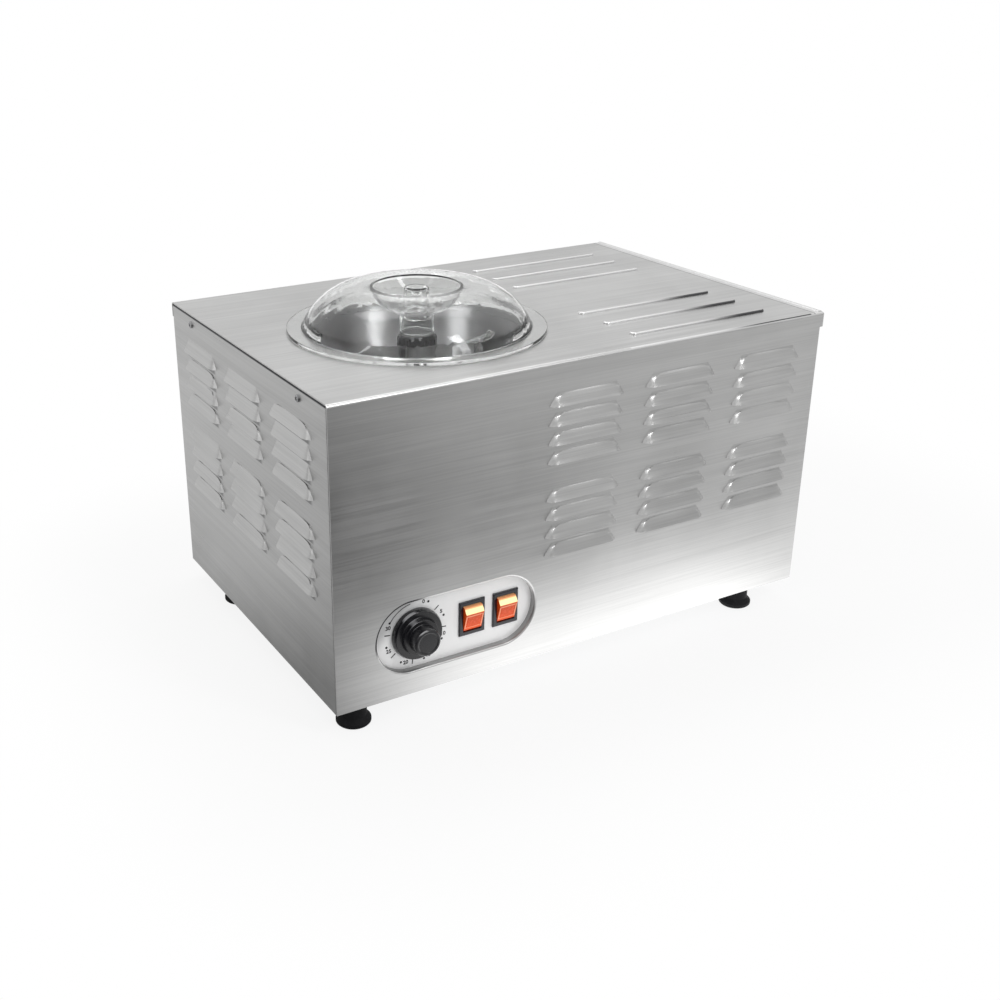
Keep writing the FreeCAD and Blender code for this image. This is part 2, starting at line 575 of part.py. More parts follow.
# Outer cover: front sheet, top and rear flange folded from one sheet.
def make_outer_cover():
    body = new_body("outer_cover")
    inner = d.bend_radius - d.sheet
    wrap = drawing(body, "wrap", "YZ_Plane")
    outline(wrap, [
        (front, casing_low),
        (front, casing_top - d.bend_radius, d.bend_radius, -1),
        (front + d.bend_radius, casing_top),
        (rear - d.bend_radius, casing_top, d.bend_radius, -1),
        (rear, casing_top - d.bend_radius),
        (rear, casing_top - d.drip_flange),
        (rear - d.sheet, casing_top - d.drip_flange),
        (rear - d.sheet, casing_top - d.bend_radius, inner, 1),
        (rear - d.bend_radius, under_top),
        (front + d.bend_radius, under_top, inner, 1),
        (front + d.sheet, casing_top - d.bend_radius),
        (front + d.sheet, casing_low),
    ])
    pad(body, wrap, "folded_sheet", d.casing_length, both=True)

    # The right edge overhangs the side panel and is folded down all round.
    eave = drawing(body, "eave", "YZ_Plane", right - d.sheet)
    low = casing_top - d.drip_flange
    outline(eave, [
        (front, low),
        (rear, low),
        (rear, casing_top - d.bend_radius, d.bend_radius, 1),
        (rear - d.bend_radius, casing_top),
        (front + d.bend_radius, casing_top, d.bend_radius, 1),
        (front, casing_top - d.bend_radius),
    ])
    eave_block = pad(body, eave, "eave", d.overhang + d.sheet)
    edge = rounded(body, "eave_bend", eave_block, d.bend_radius,
                   lambda box: near(box.XMin, right + d.overhang) and near(box.XMax, right + d.overhang)
                   and near(box.ZMin, casing_top))
    hollow = drawing(body, "eave_hollow", "XY_Plane", under_top)
    gap = d.overhang + d.sheet
    rectangle(hollow, right - d.sheet + (gap - d.sheet) / 2, 0, gap - d.sheet, d.casing_depth - d.sheet * 2)
    pocket(body, hollow, "eave_inside", d.drip_flange)

    # A raised hem runs along that edge.
    hem = drawing(body, "hem", "XZ_Plane")
    hem_right = right + d.overhang - d.bend_radius / 2
    hem_curve = (d.hem_width * d.hem_width / 4 + d.hem_rise * d.hem_rise) / (d.hem_rise * 2)
    outline(hem, [
        (hem_right - d.hem_width, casing_top - d.sheet / 2),
        (hem_right, casing_top - d.sheet / 2),
        (hem_right, casing_top - d.sheet / 4, hem_curve, 1),
        (hem_right - d.hem_width, casing_top - d.sheet / 4),
    ])
    pad(body, hem, "hem", d.casing_depth - d.bend_radius * 2, both=True)

    # Tabs folded down inside take the side panels' screws.
    for name, where in (("left", left + d.sheet), ("right", right - d.sheet * 2)):
        tabs = drawing(body, f"{name}_tabs", "YZ_Plane", where)
        for side in (-1, 1):
            rectangle(tabs, side * d.screw_spread, under_top - d.tab_drop / 2 + d.sheet / 2,
                      d.tab_length, d.tab_drop + d.sheet)
        pad(body, tabs, f"{name}_tabs_fold", d.sheet)
        holes = drawing(body, f"{name}_tab_holes", "YZ_Plane", where + d.sheet)
        for side in (-1, 1):
            circle(holes, side * d.screw_spread, screw_line, d.screw_radius + d.screw_slack)
        pocket(body, holes, f"{name}_tab_bores", d.sheet)
    rear_holes = drawing(body, "rear_holes", "XZ_Plane", -rear)
    for side in (-1, 0, 1):
        circle(rear_holes, side * (d.screw_spread + d.screw_spread / 2), screw_line, d.screw_radius + d.screw_slack)
    pocket(body, rear_holes, "rear_bores", d.sheet, flip=True)

    # Drain ribs: two groups of three pressed up beside the bowl.
    ribs = drawing(body, "ribs", "XY_Plane", under_top + d.sheet / 2)
    for first in (d.rib_front, d.rib_rear):
        for step in range(3):
            slot(ribs, rib_x, first + step * d.rib_pitch, d.rib_length, d.rib_width)
    rib_pad = pad(body, ribs, "rib_beads", d.rib_rise + d.sheet / 2)
    crown = casing_top + d.rib_rise
    rounded(body, "rib_crowns", rib_pad, d.rib_round, lambda box: near(box.ZMin, crown) and near(box.ZMax, crown))

    # The opening over the bowl.
    mouth = drawing(body, "mouth", "XY_Plane", casing_top)
    circle(mouth, bowl_x, d.bowl_y, d.bowl_radius + d.mouth_slack)
    pocket(body, mouth, "mouth_opening", d.sheet * 2)

    # The control recess, drawn inwards, with its bores for the timer and the switches.
    boss = drawing(body, "recess_back", "XZ_Plane", -(front + d.sheet / 2))
    slot(boss, recess_x, control_height, d.recess_length + d.sheet * 2, d.recess_height + d.sheet * 2)
    pad(body, boss, "recess_drawn", d.recess_depth + d.sheet / 2, flip=True)
    dish = drawing(body, "recess_front", "XZ_Plane", -front)
    slot(dish, recess_x, control_height, d.recess_length, d.recess_height)
    dish_cut = pocket(body, dish, "recess_dish", d.recess_depth)

    def on_lip(box):
        return (near(box.YMin, front) and near(box.YMax, front) and box.ZMax < (control_height + d.recess_height).value
                and box.ZMin > casing_low.value + 1 and box.XMax < 0)

    rounded(body, "recess_lip", dish_cut, d.recess_round, on_lip)
    bores = drawing(body, "control_holes", "XZ_Plane", -recess_floor)
    circle(bores, knob_x, control_height, d.timer_shaft * 2)
    for number in range(2):
        rectangle(bores, switch_x + number * d.switch_pitch, control_height,
                  d.bezel_width - d.switch_snap * 2 + d.seat_gap * 2, d.bezel_height - d.switch_snap * 2 + d.seat_gap * 2)
    pocket(body, bores, "control_bores", d.sheet * 2)
    louvres(body, front_louvre_x, front, 3, -1)
    return body


# Side and rear panels: flat louvred sheets. Each is drawn with its outside facing -Y, then turned.
def make_panel(label, at, turn, width, top):
    body = new_body(label, at, turn)
    half, corner = width / 2, d.bend_radius
    plate = drawing(body, "plate", "XZ_Plane")
    outline(plate, [
        (-half, casing_low),
        (half, casing_low),
        (half, top - corner, corner, 1),
        (half - corner, top),
        (corner - half, top, corner, 1),
        (-half, top - corner),
    ])
    block = pad(body, plate, "plate_sheet", d.sheet, flip=True)
    rounded(body, "plate_edge", block, d.panel_edge,
            lambda box: near(box.YMin, 0) and near(box.YMax, 0) and box.ZMax > casing_low.value + 1)
    return body


def screw_holes(body, places, line, radius):
    """Round holes right through a panel."""
    holes = drawing(body, "screw_holes", "XZ_Plane")
    for x in places:
        circle(holes, x, line, radius)
    pocket(body, holes, "screw_bores", d.sheet)


side_width = d.casing_depth - (d.sheet + d.panel_gap) * 2
rear_width = d.casing_length - (d.sheet + d.panel_gap) * 2
turn_left = Rotation(Vector(0, 0, 1), -90)
turn_right = Rotation(Vector(0, 0, 1), 90)
turn_back = Rotation(Vector(0, 0, 1), 180)
side_screws = [-d.screw_spread, d.screw_spread]
rear_screws = [side * (d.screw_spread + d.screw_spread / 2) for side in (-1, 0, 1)]


def make_panels():
    hole = d.screw_radius + d.screw_slack
    side_top = under_top - d.panel_gap
    left_panel = make_panel("left_panel", (left, 0, 0), turn_left, side_width, side_top)
    screw_holes(left_panel, side_screws, screw_line, hole)
    louvres(left_panel, -d.side_louvre, as_size(0), 3, -1)
    right_panel = make_panel("right_panel", (right, 0, 0), turn_right, side_width, side_top)
    screw_holes(right_panel, side_screws, screw_line, hole)
    louvres(right_panel, d.side_louvre, as_size(0), 3, -1)
    rear_top = casing_top - d.bend_radius - d.panel_gap
    rear_panel = make_panel("rear_panel", (0, rear - d.sheet, 0), turn_back, rear_width, rear_top)
    screw_holes(rear_panel, rear_screws, screw_line, hole)
    gland = drawing(rear_panel, "gland_hole", "XZ_Plane")
    circle(gland, -gland_x, casing_low + d.gland_line, d.gland_thread + d.seat_gap)
    pocket(rear_panel, gland, "gland_bore", d.sheet)
    louvres(rear_panel, -rear_louvre_x, as_size(0), 2, 0)


def spun(body, name, corners):
    """A profile drawn on the body's XY plane and turned about its Y axis, for screws and knobs."""
    sketch = drawing(body, f"{name}_profile", "XY_Plane")
    outline(sketch, corners)
    made = body.newObject("PartDesign::Revolution", f"{body.Name}_{name}")
    made.Profile = sketch
    made.ReferenceAxis = (sketch, ["V_Axis"])
    made.Angle = 360
    return made


def make_screws(label, at, turn, reach, pitch, count):
    """A row of dome-headed screws, heads on the panel's outside."""
    body = new_body(label, at, turn)
    one = spun(body, "screw", [
        (0, -d.screw_dome),
        (d.screw_head / 2, -d.screw_dome),
        (d.screw_head, -d.screw_dome / 4),
        (d.screw_head, 0),
        (d.screw_radius, 0),
        (d.screw_radius, reach),
        (0, reach),
    ])
    repeated(body, "row", [one], [("X_Axis", pitch, count)])


# Base pan: a tray whose flanges close the casing below and carry its panels.
def make_base_pan():
    body = new_body("base_pan")
    low = casing_low + d.pan_rise
    width, depth = d.casing_length - d.sheet * 2, d.casing_depth - d.sheet * 3
    shift = -d.sheet / 2
    tray = drawing(body, "tray", "XY_Plane", low)
    rectangle(tray, as_size(0), shift, width, depth)
    pad(body, tray, "tray_block", d.pan_flange)
    inside = drawing(body, "inside", "XY_Plane", low + d.pan_sheet)
    rectangle(inside, as_size(0), shift, width - d.pan_sheet * 2, depth - d.pan_sheet * 2)
    pocket(body, inside, "tray_inside", d.pan_flange, flip=True)
    holes = drawing(body, "foot_holes", "XY_Plane", low + d.pan_sheet)
    for x in foot_lines_x:
        for y in foot_lines_y:
            circle(holes, x, y, d.foot_screw + d.screw_slack)
    pocket(body, holes, "foot_bores", d.pan_sheet)
    vents = drawing(body, "vents", "XY_Plane", low + d.pan_sheet)
    for step in (-2, -1, 0, 1, 2):
        rectangle(vents, condenser_x + step * d.fin_depth * 2, as_size(0) - d.fan_motor_length,
                  d.fin_pitch, d.fan_radius)
    pocket(body, vents, "vent_slots", d.pan_sheet)


pan_floor = casing_low + d.pan_rise + d.pan_sheet


# Rubber feet with the screws that hold them to the pan.
def make_feet():
    top = casing_low + d.pan_rise
    flare = d.foot_disc + d.foot_radius - d.foot_neck
    for end, x in zip(("left", "right"), foot_lines_x):
        for side, y in zip(("front", "rear"), foot_lines_y):
            body = new_body(f"foot_{side}_{end}", (x, y, 0))
            turned(body, "foot", [
                (0, 0),
                (d.foot_radius - d.foot_screw / 2, 0),
                (d.foot_radius, d.foot_screw / 2),
                (d.foot_radius, d.foot_disc),
                (d.foot_neck + d.seat_gap, flare),
                (d.foot_neck, top),
                (d.foot_screw + d.running_fit, top),
                (d.foot_screw + d.running_fit, d.foot_disc * 2),
                (0, d.foot_disc * 2),
            ])
    body = new_body("foot_screws", (foot_lines_x[0], foot_lines_y[0], 0))
    screw = turned(body, "screw", [
        (0, d.foot_disc * 2),
        (d.foot_screw, d.foot_disc * 2),
        (d.foot_screw, pan_floor),
        (d.foot_screw * 2, pan_floor),
        (d.foot_screw * 2, pan_floor + d.foot_screw),
        (0, pan_floor + d.foot_screw),
    ])
    repeated(body, "set", [screw], [("X_Axis", foot_lines_x[1] - foot_lines_x[0], 2),
                                    ("Y_Axis", foot_lines_y[1] - foot_lines_y[0], 2)])


# Bowl with its centre column, the seal under the cover, the evaporator and the insulation.
bowl_axis = (bowl_x, d.bowl_y, 0)
column_top = bowl_top - d.column_drop
bowl_under = bowl_floor - d.bowl_wall
bowl_outside = d.bowl_radius + d.bowl_wall
column_bore = d.column_radius - d.column_wall
jacket_top = bowl_top - d.jacket_drop
jacket_low = jacket_top - d.jacket_height
jacket_outside = bowl_outside + d.jacket_duct + d.jacket_wall
jacket_inlet = bowl_outside + d.seat_gap + d.pipe_radius
suction_y = d.compressor_y - d.bowl_y
suction_x = bowl_x + (jacket_inlet * jacket_inlet - suction_y * suction_y).root()


def make_bowl():
    body = new_body("bowl", bowl_axis)
    turned(body, "bowl", [
        (column_bore, bowl_under),
        (d.bowl_radius - d.bowl_corner, bowl_under, d.bowl_corner + d.bowl_wall, 1),
        (bowl_outside, bowl_floor + d.bowl_corner),
        (bowl_outside, bowl_top - d.bowl_wall),
        (d.bowl_radius + d.bowl_flange, bowl_top - d.bowl_wall),
        (d.bowl_radius + d.bowl_flange, bowl_top),
        (d.bowl_radius, bowl_top),
        (d.bowl_radius, bowl_floor + d.bowl_corner, d.bowl_corner, -1),
        (d.bowl_radius - d.bowl_corner, bowl_floor),
        (d.column_radius, bowl_floor),
        (d.column_radius, column_top),
        (column_bore, column_top),
    ])
    ring = new_body("bowl_seal", bowl_axis)
    turned(ring, "seal", [
        (d.bowl_radius + d.mouth_slack, bowl_top),
        (d.bowl_radius + d.bowl_flange, bowl_top),
        (d.bowl_radius + d.bowl_flange, under_top),
        (d.bowl_radius + d.mouth_slack, under_top),
    ])
    jacket = new_body("evaporator", bowl_axis)
    turned(jacket, "channel", [
        (bowl_outside, jacket_low),
        (jacket_outside, jacket_low),
        (jacket_outside, jacket_top),
        (bowl_outside, jacket_top),
        (bowl_outside, jacket_top - d.jacket_wall),
        (jacket_outside - d.jacket_wall, jacket_top - d.jacket_wall),
        (jacket_outside - d.jacket_wall, jacket_low + d.jacket_wall),
        (bowl_outside, jacket_low + d.jacket_wall),
    ])
    foam = new_body("insulation", bowl_axis)
    inner, wide = bowl_outside + d.seat_gap, jacket_outside + d.seat_gap
    base = bowl_under - d.foam_base
    turned(foam, "insulation", [
        (d.gearbox_radius / 2 + d.foam_base / 2, base),
        (d.foam_radius, base),
        (d.foam_radius, bowl_top - d.bowl_wall - d.seat_gap),
        (inner, bowl_top - d.bowl_wall - d.seat_gap),
        (inner, jacket_top + d.seat_gap),
        (wide, jacket_top + d.seat_gap),
        (wide, jacket_low - d.seat_gap),
        (inner, jacket_low - d.seat_gap),
        (inner, bowl_under - d.seat_gap),
        (d.gearbox_radius / 2 + d.foam_base / 2, bowl_under - d.seat_gap),
    ])
    bores = drawing(foam, "pipe_holes", "XY_Plane", base)
    circle(bores, jacket_inlet, as_size(0), d.pipe_radius + d.seat_gap)
    circle(bores, suction_x - bowl_x, suction_y, d.pipe_radius + d.seat_gap)
    pocket(foam, bores, "pipe_bores", jacket_low - base, flip=True)


# Drive: gear motor under the bowl on its bracket, shaft, bearings and seal.
gearbox_top = bowl_under - d.gearbox_boss
gearbox_low = gearbox_top - d.gearbox_height
motor_top = gearbox_low - d.bracket_sheet
hub_low = bowl_floor + d.blade_gap
hub_under_cap = column_top + d.hub_lift
hub_top = hub_under_cap + d.hub_cap
nut_top = hub_top + d.nut_height
shaft_top = nut_top - d.nut_crown
hub_bore = d.column_radius + d.hub_gap
hub_outside = hub_bore + d.hub_wall
shaft_bore = d.shaft_radius + d.running_fit


def make_drive():
    gearbox = new_body("gearbox", bowl_axis)
    turned(gearbox, "housing", [
        (0, gearbox_low),
        (d.gearbox_radius, gearbox_low),
        (d.gearbox_radius, gearbox_low + d.gearbox_height / 4),
        (d.gearbox_radius - d.bracket_sheet, gearbox_low + d.gearbox_height / 4),
        (d.gearbox_radius - d.bracket_sheet, gearbox_top),
        (d.gearbox_radius / 2, gearbox_top),
        (d.gearbox_radius / 2, bowl_under),
        (shaft_bore, bowl_under),
        (shaft_bore, bowl_under - d.shaft_engage - d.seat_gap),
        (0, bowl_under - d.shaft_engage - d.seat_gap),
    ])
    motor = new_body("drive_motor", bowl_axis)
    turned(motor, "case", [
        (0, motor_top - d.motor_length - d.motor_cap_length),
        (d.motor_cap, motor_top - d.motor_length - d.motor_cap_length),
        (d.motor_cap, motor_top - d.motor_length),
        (d.motor_radius, motor_top - d.motor_length),
        (d.motor_radius, motor_top),
        (0, motor_top),
    ])
    bracket = new_body("drive_bracket", bowl_axis)
    half, foot = d.bracket_span / 2, d.bracket_foot
    profile = drawing(bracket, "profile", "YZ_Plane")
    outline(profile, [
        (-half - foot, pan_floor),
        (-half + d.bracket_sheet, pan_floor),
        (-half + d.bracket_sheet, motor_top),
        (half - d.bracket_sheet, motor_top),
        (half - d.bracket_sheet, pan_floor),
        (half + foot, pan_floor),
        (half + foot, pan_floor + d.bracket_sheet),
        (half, pan_floor + d.bracket_sheet),
        (half, gearbox_low),
        (-half, gearbox_low),
        (-half, pan_floor + d.bracket_sheet),
        (-half - foot, pan_floor + d.bracket_sheet),
    ])
    pad(bracket, profile, "folded", d.bracket_width, both=True)
    shaft = new_body("drive_shaft", bowl_axis)
    turned(shaft, "shaft", [
        (0, bowl_under - d.shaft_engage),
        (d.shaft_radius, bowl_under - d.shaft_engage),
        (d.shaft_radius, shaft_top),
        (0, shaft_top),
    ])
    cross = drawing(shaft, "pin_bore", "YZ_Plane", d.shaft_radius * 2)
    circle(cross, as_size(0), hub_under_cap + d.pin_radius, d.pin_radius)
    pocket(shaft, cross, "pin_hole", d.shaft_radius * 4)
    pin = new_body("drive_pin", bowl_axis)
    end = drawing(pin, "end", "YZ_Plane")
    circle(end, as_size(0), hub_under_cap + d.pin_radius, d.pin_radius)
    pad(pin, end, "pin", (hub_bore - d.seat_gap) * 2, both=True)
    bearings = new_body("shaft_bearings", bowl_axis)
    low = bowl_floor + d.bearing_height
    ring = turned(bearings, "bearing", [
        (shaft_bore, low),
        (column_bore, low),
        (column_bore, low + d.bearing_height),
        (shaft_bore, low + d.bearing_height),
    ])
    rise = column_top - d.seal_height - d.bearing_height - low
    repeated(bearings, "pair", [ring], [("Z_Axis", rise, 2)])
    seal = new_body("shaft_seal", bowl_axis)
    turned(seal, "seal", [
        (shaft_bore, column_top - d.seal_height),
        (column_bore, column_top - d.seal_height),
        (column_bore, column_top),
        (shaft_bore, column_top),
    ])


# Dasher: a hub over the column with two curved blades, plastic scrapers and a knurled nut.
def make_dasher():
    body = new_body("dasher", bowl_axis)
    turned(body, "hub", [
        (hub_bore, hub_low),
        (hub_outside, hub_low),
        (hub_outside, hub_top),
        (d.shaft_radius, hub_top),
        (d.shaft_radius, hub_under_cap),
        (hub_bore, hub_under_cap),
    ])
    half = d.blade_sheet / 2
    plan = drawing(body, "blade_plan", "XY_Plane", hub_low)
    outline(plan, [
        (d.column_radius + d.hub_wall, -half, d.blade_curve, 1),
        (d.blade_tip, d.blade_sweep - half),
        (d.blade_tip, d.blade_sweep + half, d.blade_curve, -1),
        (d.column_radius + d.hub_wall, half),
    ])
    blade = pad(body, plan, "blade", d.blade_height)
    window = drawing(body, "window", "XZ_Plane")
    rectangle(window, (d.window_inner + d.window_outer) / 2, hub_low + (d.window_low + d.window_high) / 2,
              d.window_outer - d.window_inner, d.window_high - d.window_low)
    opening = pocket(body, window, "window_opening", d.blade_sweep * 2)
    pair = body.newObject("PartDesign::PolarPattern", "dasher_pair")
    pair.Originals = [blade, opening]
    pair.Axis = axis_of(body, "Z_Axis")
    pair.Angle = 360
    pair.Occurrences = 2
    body.Tip = pair
    slot_plan = drawing(body, "pin_slot", "YZ_Plane")
    rectangle(slot_plan, as_size(0), hub_under_cap + d.pin_radius / 2, d.pin_radius * 2, d.pin_radius * 3)
    pocket(body, slot_plan, "pin_slot_cut", hub_bore * 2, both=True)

    scrapers = new_body("scrapers", bowl_axis)
    strip = drawing(scrapers, "strip", "XY_Plane", bowl_floor + d.bowl_corner)
    rectangle(strip, d.blade_tip + d.scraper_thick / 2, d.blade_sweep, d.scraper_thick, d.scraper_width)
    bar = pad(scrapers, strip, "strip_bar", d.blade_height + d.blade_gap - d.bowl_corner)
    both = scrapers.newObject("PartDesign::PolarPattern", "scrapers_pair")
    both.Originals = [bar]
    both.Axis = axis_of(scrapers, "Z_Axis")
    both.Angle = 360
    both.Occurrences = 2
    scrapers.Tip = both

    nut = new_body("dasher_nut", bowl_axis)
    edge = d.nut_flute * 2
    turned(nut, "nut", [
        (d.shaft_radius, hub_top),
        (d.nut_radius - edge / 2, hub_top),
        (d.nut_radius, hub_top + edge / 2),
        (d.nut_radius, nut_top - edge),
        (d.nut_radius - edge, nut_top),
        (0, nut_top),
        (0, shaft_top),
        (d.shaft_radius, shaft_top),
    ])
    flute = drawing(nut, "flute", "XY_Plane", nut_top)
    flute_side = d.nut_flute * 2
    rectangle(flute, d.nut_radius, as_size(0), flute_side, flute_side)
    cut = pocket(nut, flute, "flute_cut", d.nut_height - edge)
    grip = nut.newObject("PartDesign::PolarPattern", "dasher_nut_grip")
    grip.Originals = [cut]
    grip.Axis = axis_of(nut, "Z_Axis")
    grip.Angle = 360
    grip.Occurrences = 18
    nut.Tip = grip


# Lid: flange, dome, well and spout in one clear moulding, and the feed cap that closes it.
lid_low = casing_top + d.lid_seat
flange_top = lid_low + d.lid_flange
ring_top = flange_top + d.dome_rise
well_floor = ring_top - d.well_depth
spout_low = well_floor - d.spout_drop
spout_bore = d.spout_radius - d.lid_wall


def make_lid():
    body = new_body("lid", bowl_axis)
    skirt = d.bowl_radius - d.skirt_gap
    wall = d.lid_wall
    turned(body, "lid", [
        (skirt - wall, lid_low - d.skirt_drop),
        (skirt, lid_low - d.skirt_drop),
        (skirt, lid_low),
        (d.lid_radius, lid_low),
        (d.lid_radius, flange_top),
        (d.dome_radius, flange_top, d.dome_arc, 1),
        (d.well_radius, ring_top),
        (d.well_radius - d.well_lip, ring_top - d.well_lip / 4, d.well_arc, -1),
        (d.well_flat, well_floor),
        (spout_bore, well_floor),
        (spout_bore, spout_low),
        (d.spout_radius, spout_low),
        (d.spout_radius, well_floor - wall),
        (d.well_flat, well_floor - wall, d.well_arc + wall, 1),
        (d.well_radius - d.seat_gap, ring_top - wall - d.well_lip / 4),
        (d.well_radius + wall, ring_top - wall, d.dome_arc - wall, -1),
        (skirt - wall, flange_top + d.dome_shoulder),
    ])
    cap = new_body("feed_cap", bowl_axis)
    seat = well_floor + d.seat_gap
    plug = spout_bore - d.plug_gap
    top = well_floor + d.cap_grip_rise
    turned(cap, "cap", [
        (d.cap_bore, seat - d.plug_drop),
        (plug, seat - d.plug_drop),
        (plug, seat),
        (spout_bore + d.cap_brim, seat),
        (spout_bore + d.cap_brim, seat + d.cap_thick),
        (d.cap_grip, seat + d.cap_thick),
        (d.cap_grip, top - d.cap_grip_round, d.cap_grip_round, 1),
        (d.cap_grip - d.cap_grip_round, top),
        (0, top),
        (0, top - wall),
        (d.cap_bore, top - wall),
    ])


# Controls: timer with its knob, and two lit rocker switches.
def make_controls():
    behind = recess_floor + d.sheet
    case = new_body("timer", (knob_x, behind, control_height))
    face = drawing(case, "case", "XZ_Plane")
    rectangle(face, as_size(0), as_size(0), d.timer_width, d.timer_height)
    pad(case, face, "case_block", d.timer_length, flip=True)
    shaft_hole = drawing(case, "shaft_hole", "XZ_Plane")
    circle(shaft_hole, as_size(0), as_size(0), d.timer_shaft + d.running_fit)
    pocket(case, shaft_hole, "shaft_bore", d.timer_length / 2)
    shaft = new_body("timer_shaft", (knob_x, recess_floor, control_height))
    end = drawing(shaft, "end", "XZ_Plane", d.timer_reach)
    circle(end, as_size(0), as_size(0), d.timer_shaft)
    pad(shaft, end, "shaft", d.timer_reach + d.sheet + d.timer_length / 2 - d.seat_gap, flip=True)
    knob = new_body("timer_knob", (knob_x, recess_floor - d.knob_gap, control_height))
    step = d.knob_skirt + d.knob_step
    total = step + d.knob_grip
    bevel = d.knob_round
    spun(knob, "knob", [
        (d.timer_shaft, 0),
        (d.knob_radius, 0),
        (d.knob_radius, -d.knob_skirt / 2),
        (d.knob_radius - bevel, -d.knob_skirt),
        (d.knob_step_radius, -d.knob_skirt),
        (d.knob_step_radius - bevel, -step),
        (d.knob_grip_radius, -step),
        (d.knob_grip_radius - bevel / 2, bevel - total),
        (d.knob_grip_radius - bevel - bevel / 2, -total),
        (0, -total),
        (0, d.knob_gap - d.timer_reach),
        (d.timer_shaft, d.knob_gap - d.timer_reach),
    ])
    for number in range(2):
        make_switch(number + 1, switch_x + number * d.switch_pitch)


def make_switch(number, x):
    """A rocker switch: bezel and case in one moulding, and the lit rocker on its pivot pins."""
    face = recess_floor - d.bezel_thick
    case = new_body(f"switch_{number}", (x, recess_floor, control_height))
    bezel = drawing(case, "bezel", "XZ_Plane")
    rectangle(bezel, as_size(0), as_size(0), d.bezel_width, d.bezel_height)
    front_plate = pad(case, bezel, "bezel_plate", d.bezel_thick)
    rounded(case, "bezel_edge", front_plate, d.bezel_thick / 2,
            lambda box: near(box.YMin, -d.bezel_thick) and near(box.YMax, -d.bezel_thick))
    back = drawing(case, "case", "XZ_Plane")
    wide, high = d.bezel_width - d.switch_snap * 2, d.bezel_height - d.switch_snap * 2
    rectangle(back, as_size(0), as_size(0), wide, high)
    pad(case, back, "case_block", d.switch_depth, flip=True)
    well = drawing(case, "well", "XZ_Plane", d.bezel_thick)
    opening_high = d.bezel_height - d.bezel_frame * 2
    rectangle(well, as_size(0), as_size(0), d.bezel_width - d.bezel_frame * 2, opening_high)
    pocket(case, well, "well_cut", d.rocker_pivot + d.rocker_back + opening_high / 4)
    pins = drawing(case, "pin_sockets", "YZ_Plane")
    circle(pins, d.rocker_pivot - d.bezel_thick, as_size(0), d.rocker_pin + d.running_fit)
    pocket(case, pins, "pin_holes", wide - d.switch_wall, both=True)

    rocker = new_body(f"rocker_{number}", (x, face + d.rocker_pivot, control_height))
    side = drawing(rocker, "side", "YZ_Plane")
    half = opening_high / 2 - d.rocker_gap
    outline(side, [
        (-d.rocker_pivot - d.rocker_rise, d.rocker_ridge),
        (-d.rocker_pivot - d.rocker_proud, half - d.rocker_gap * 3),
        (d.rocker_gap, half - d.rocker_gap * 2),
        (d.rocker_back, half / 2),
        (d.rocker_back, -half / 2),
        (d.rocker_gap, -half + d.rocker_gap * 2),
        (-d.rocker_pivot - d.rocker_gap, -half + d.rocker_gap * 5),
    ])
    width = d.bezel_width - d.bezel_frame * 2 - d.rocker_gap * 2
    pad(rocker, side, "rocker_block", width, both=True)
    pin = drawing(rocker, "pin", "YZ_Plane")
    circle(pin, as_size(0), as_size(0), d.rocker_pin)
    pad(rocker, pin, "pins", wide - d.switch_wall - d.rocker_gap, both=True)


# Refrigeration: compressor on rubber mounts, condenser, fan and its motor, drier and pipes.
plate_low = pan_floor + d.mount_height
shell_low = plate_low + d.plate_sheet
condenser_front = front + d.condenser_front
condenser_back = condenser_front + d.condenser_depth
condenser_middle = pan_floor + d.condenser_height / 2
shroud_back = condenser_back + d.shroud_sheet
fan_middle = shroud_back + d.shroud_ring
fan_motor_front = fan_middle + d.fan_hub_length / 2 + d.seat_gap
fan_motor_back = fan_motor_front + d.fan_motor_length


def make_compressor():
    body = new_body("compressor", (compressor_x, d.compressor_y, 0))
    top = shell_low + d.compressor_height
    middle = shell_low + d.compressor_height / 2
    turned(body, "shell", [
        (0, shell_low),
        (d.compressor_radius - d.compressor_dome / 2, shell_low),
        (d.compressor_radius, shell_low + d.compressor_dome / 2),
        (d.compressor_radius, middle),
        (d.compressor_radius + d.compressor_seam, middle),
        (d.compressor_radius + d.compressor_seam, middle + d.compressor_seam),
        (d.compressor_radius, middle + d.compressor_seam),
        (d.compressor_radius, top - d.compressor_dome, d.compressor_dome, 1),
        (d.compressor_radius - d.compressor_dome, top),
        (0, top),
    ])
    plate = new_body("compressor_plate", (compressor_x, d.compressor_y, plate_low))
    plan = drawing(plate, "plan", "XY_Plane")
    rectangle(plan, as_size(0), as_size(0), d.plate_length, d.plate_depth)
    pad(plate, plan, "plate", d.plate_sheet)
    mounts = new_body("compressor_mounts", (compressor_x - d.plate_length / 2 + d.mount_inset,
                                            d.compressor_y - d.plate_depth / 2 + d.mount_inset, pan_floor))
    round_plan = drawing(mounts, "plan", "XY_Plane")
    circle(round_plan, as_size(0), as_size(0), d.mount_radius)
    mount = pad(mounts, round_plan, "mount", d.mount_height)
    repeated(mounts, "set", [mount], [("X_Axis", d.plate_length - d.mount_inset * 2, 2),
                                      ("Y_Axis", d.plate_depth - d.mount_inset * 2, 2)])


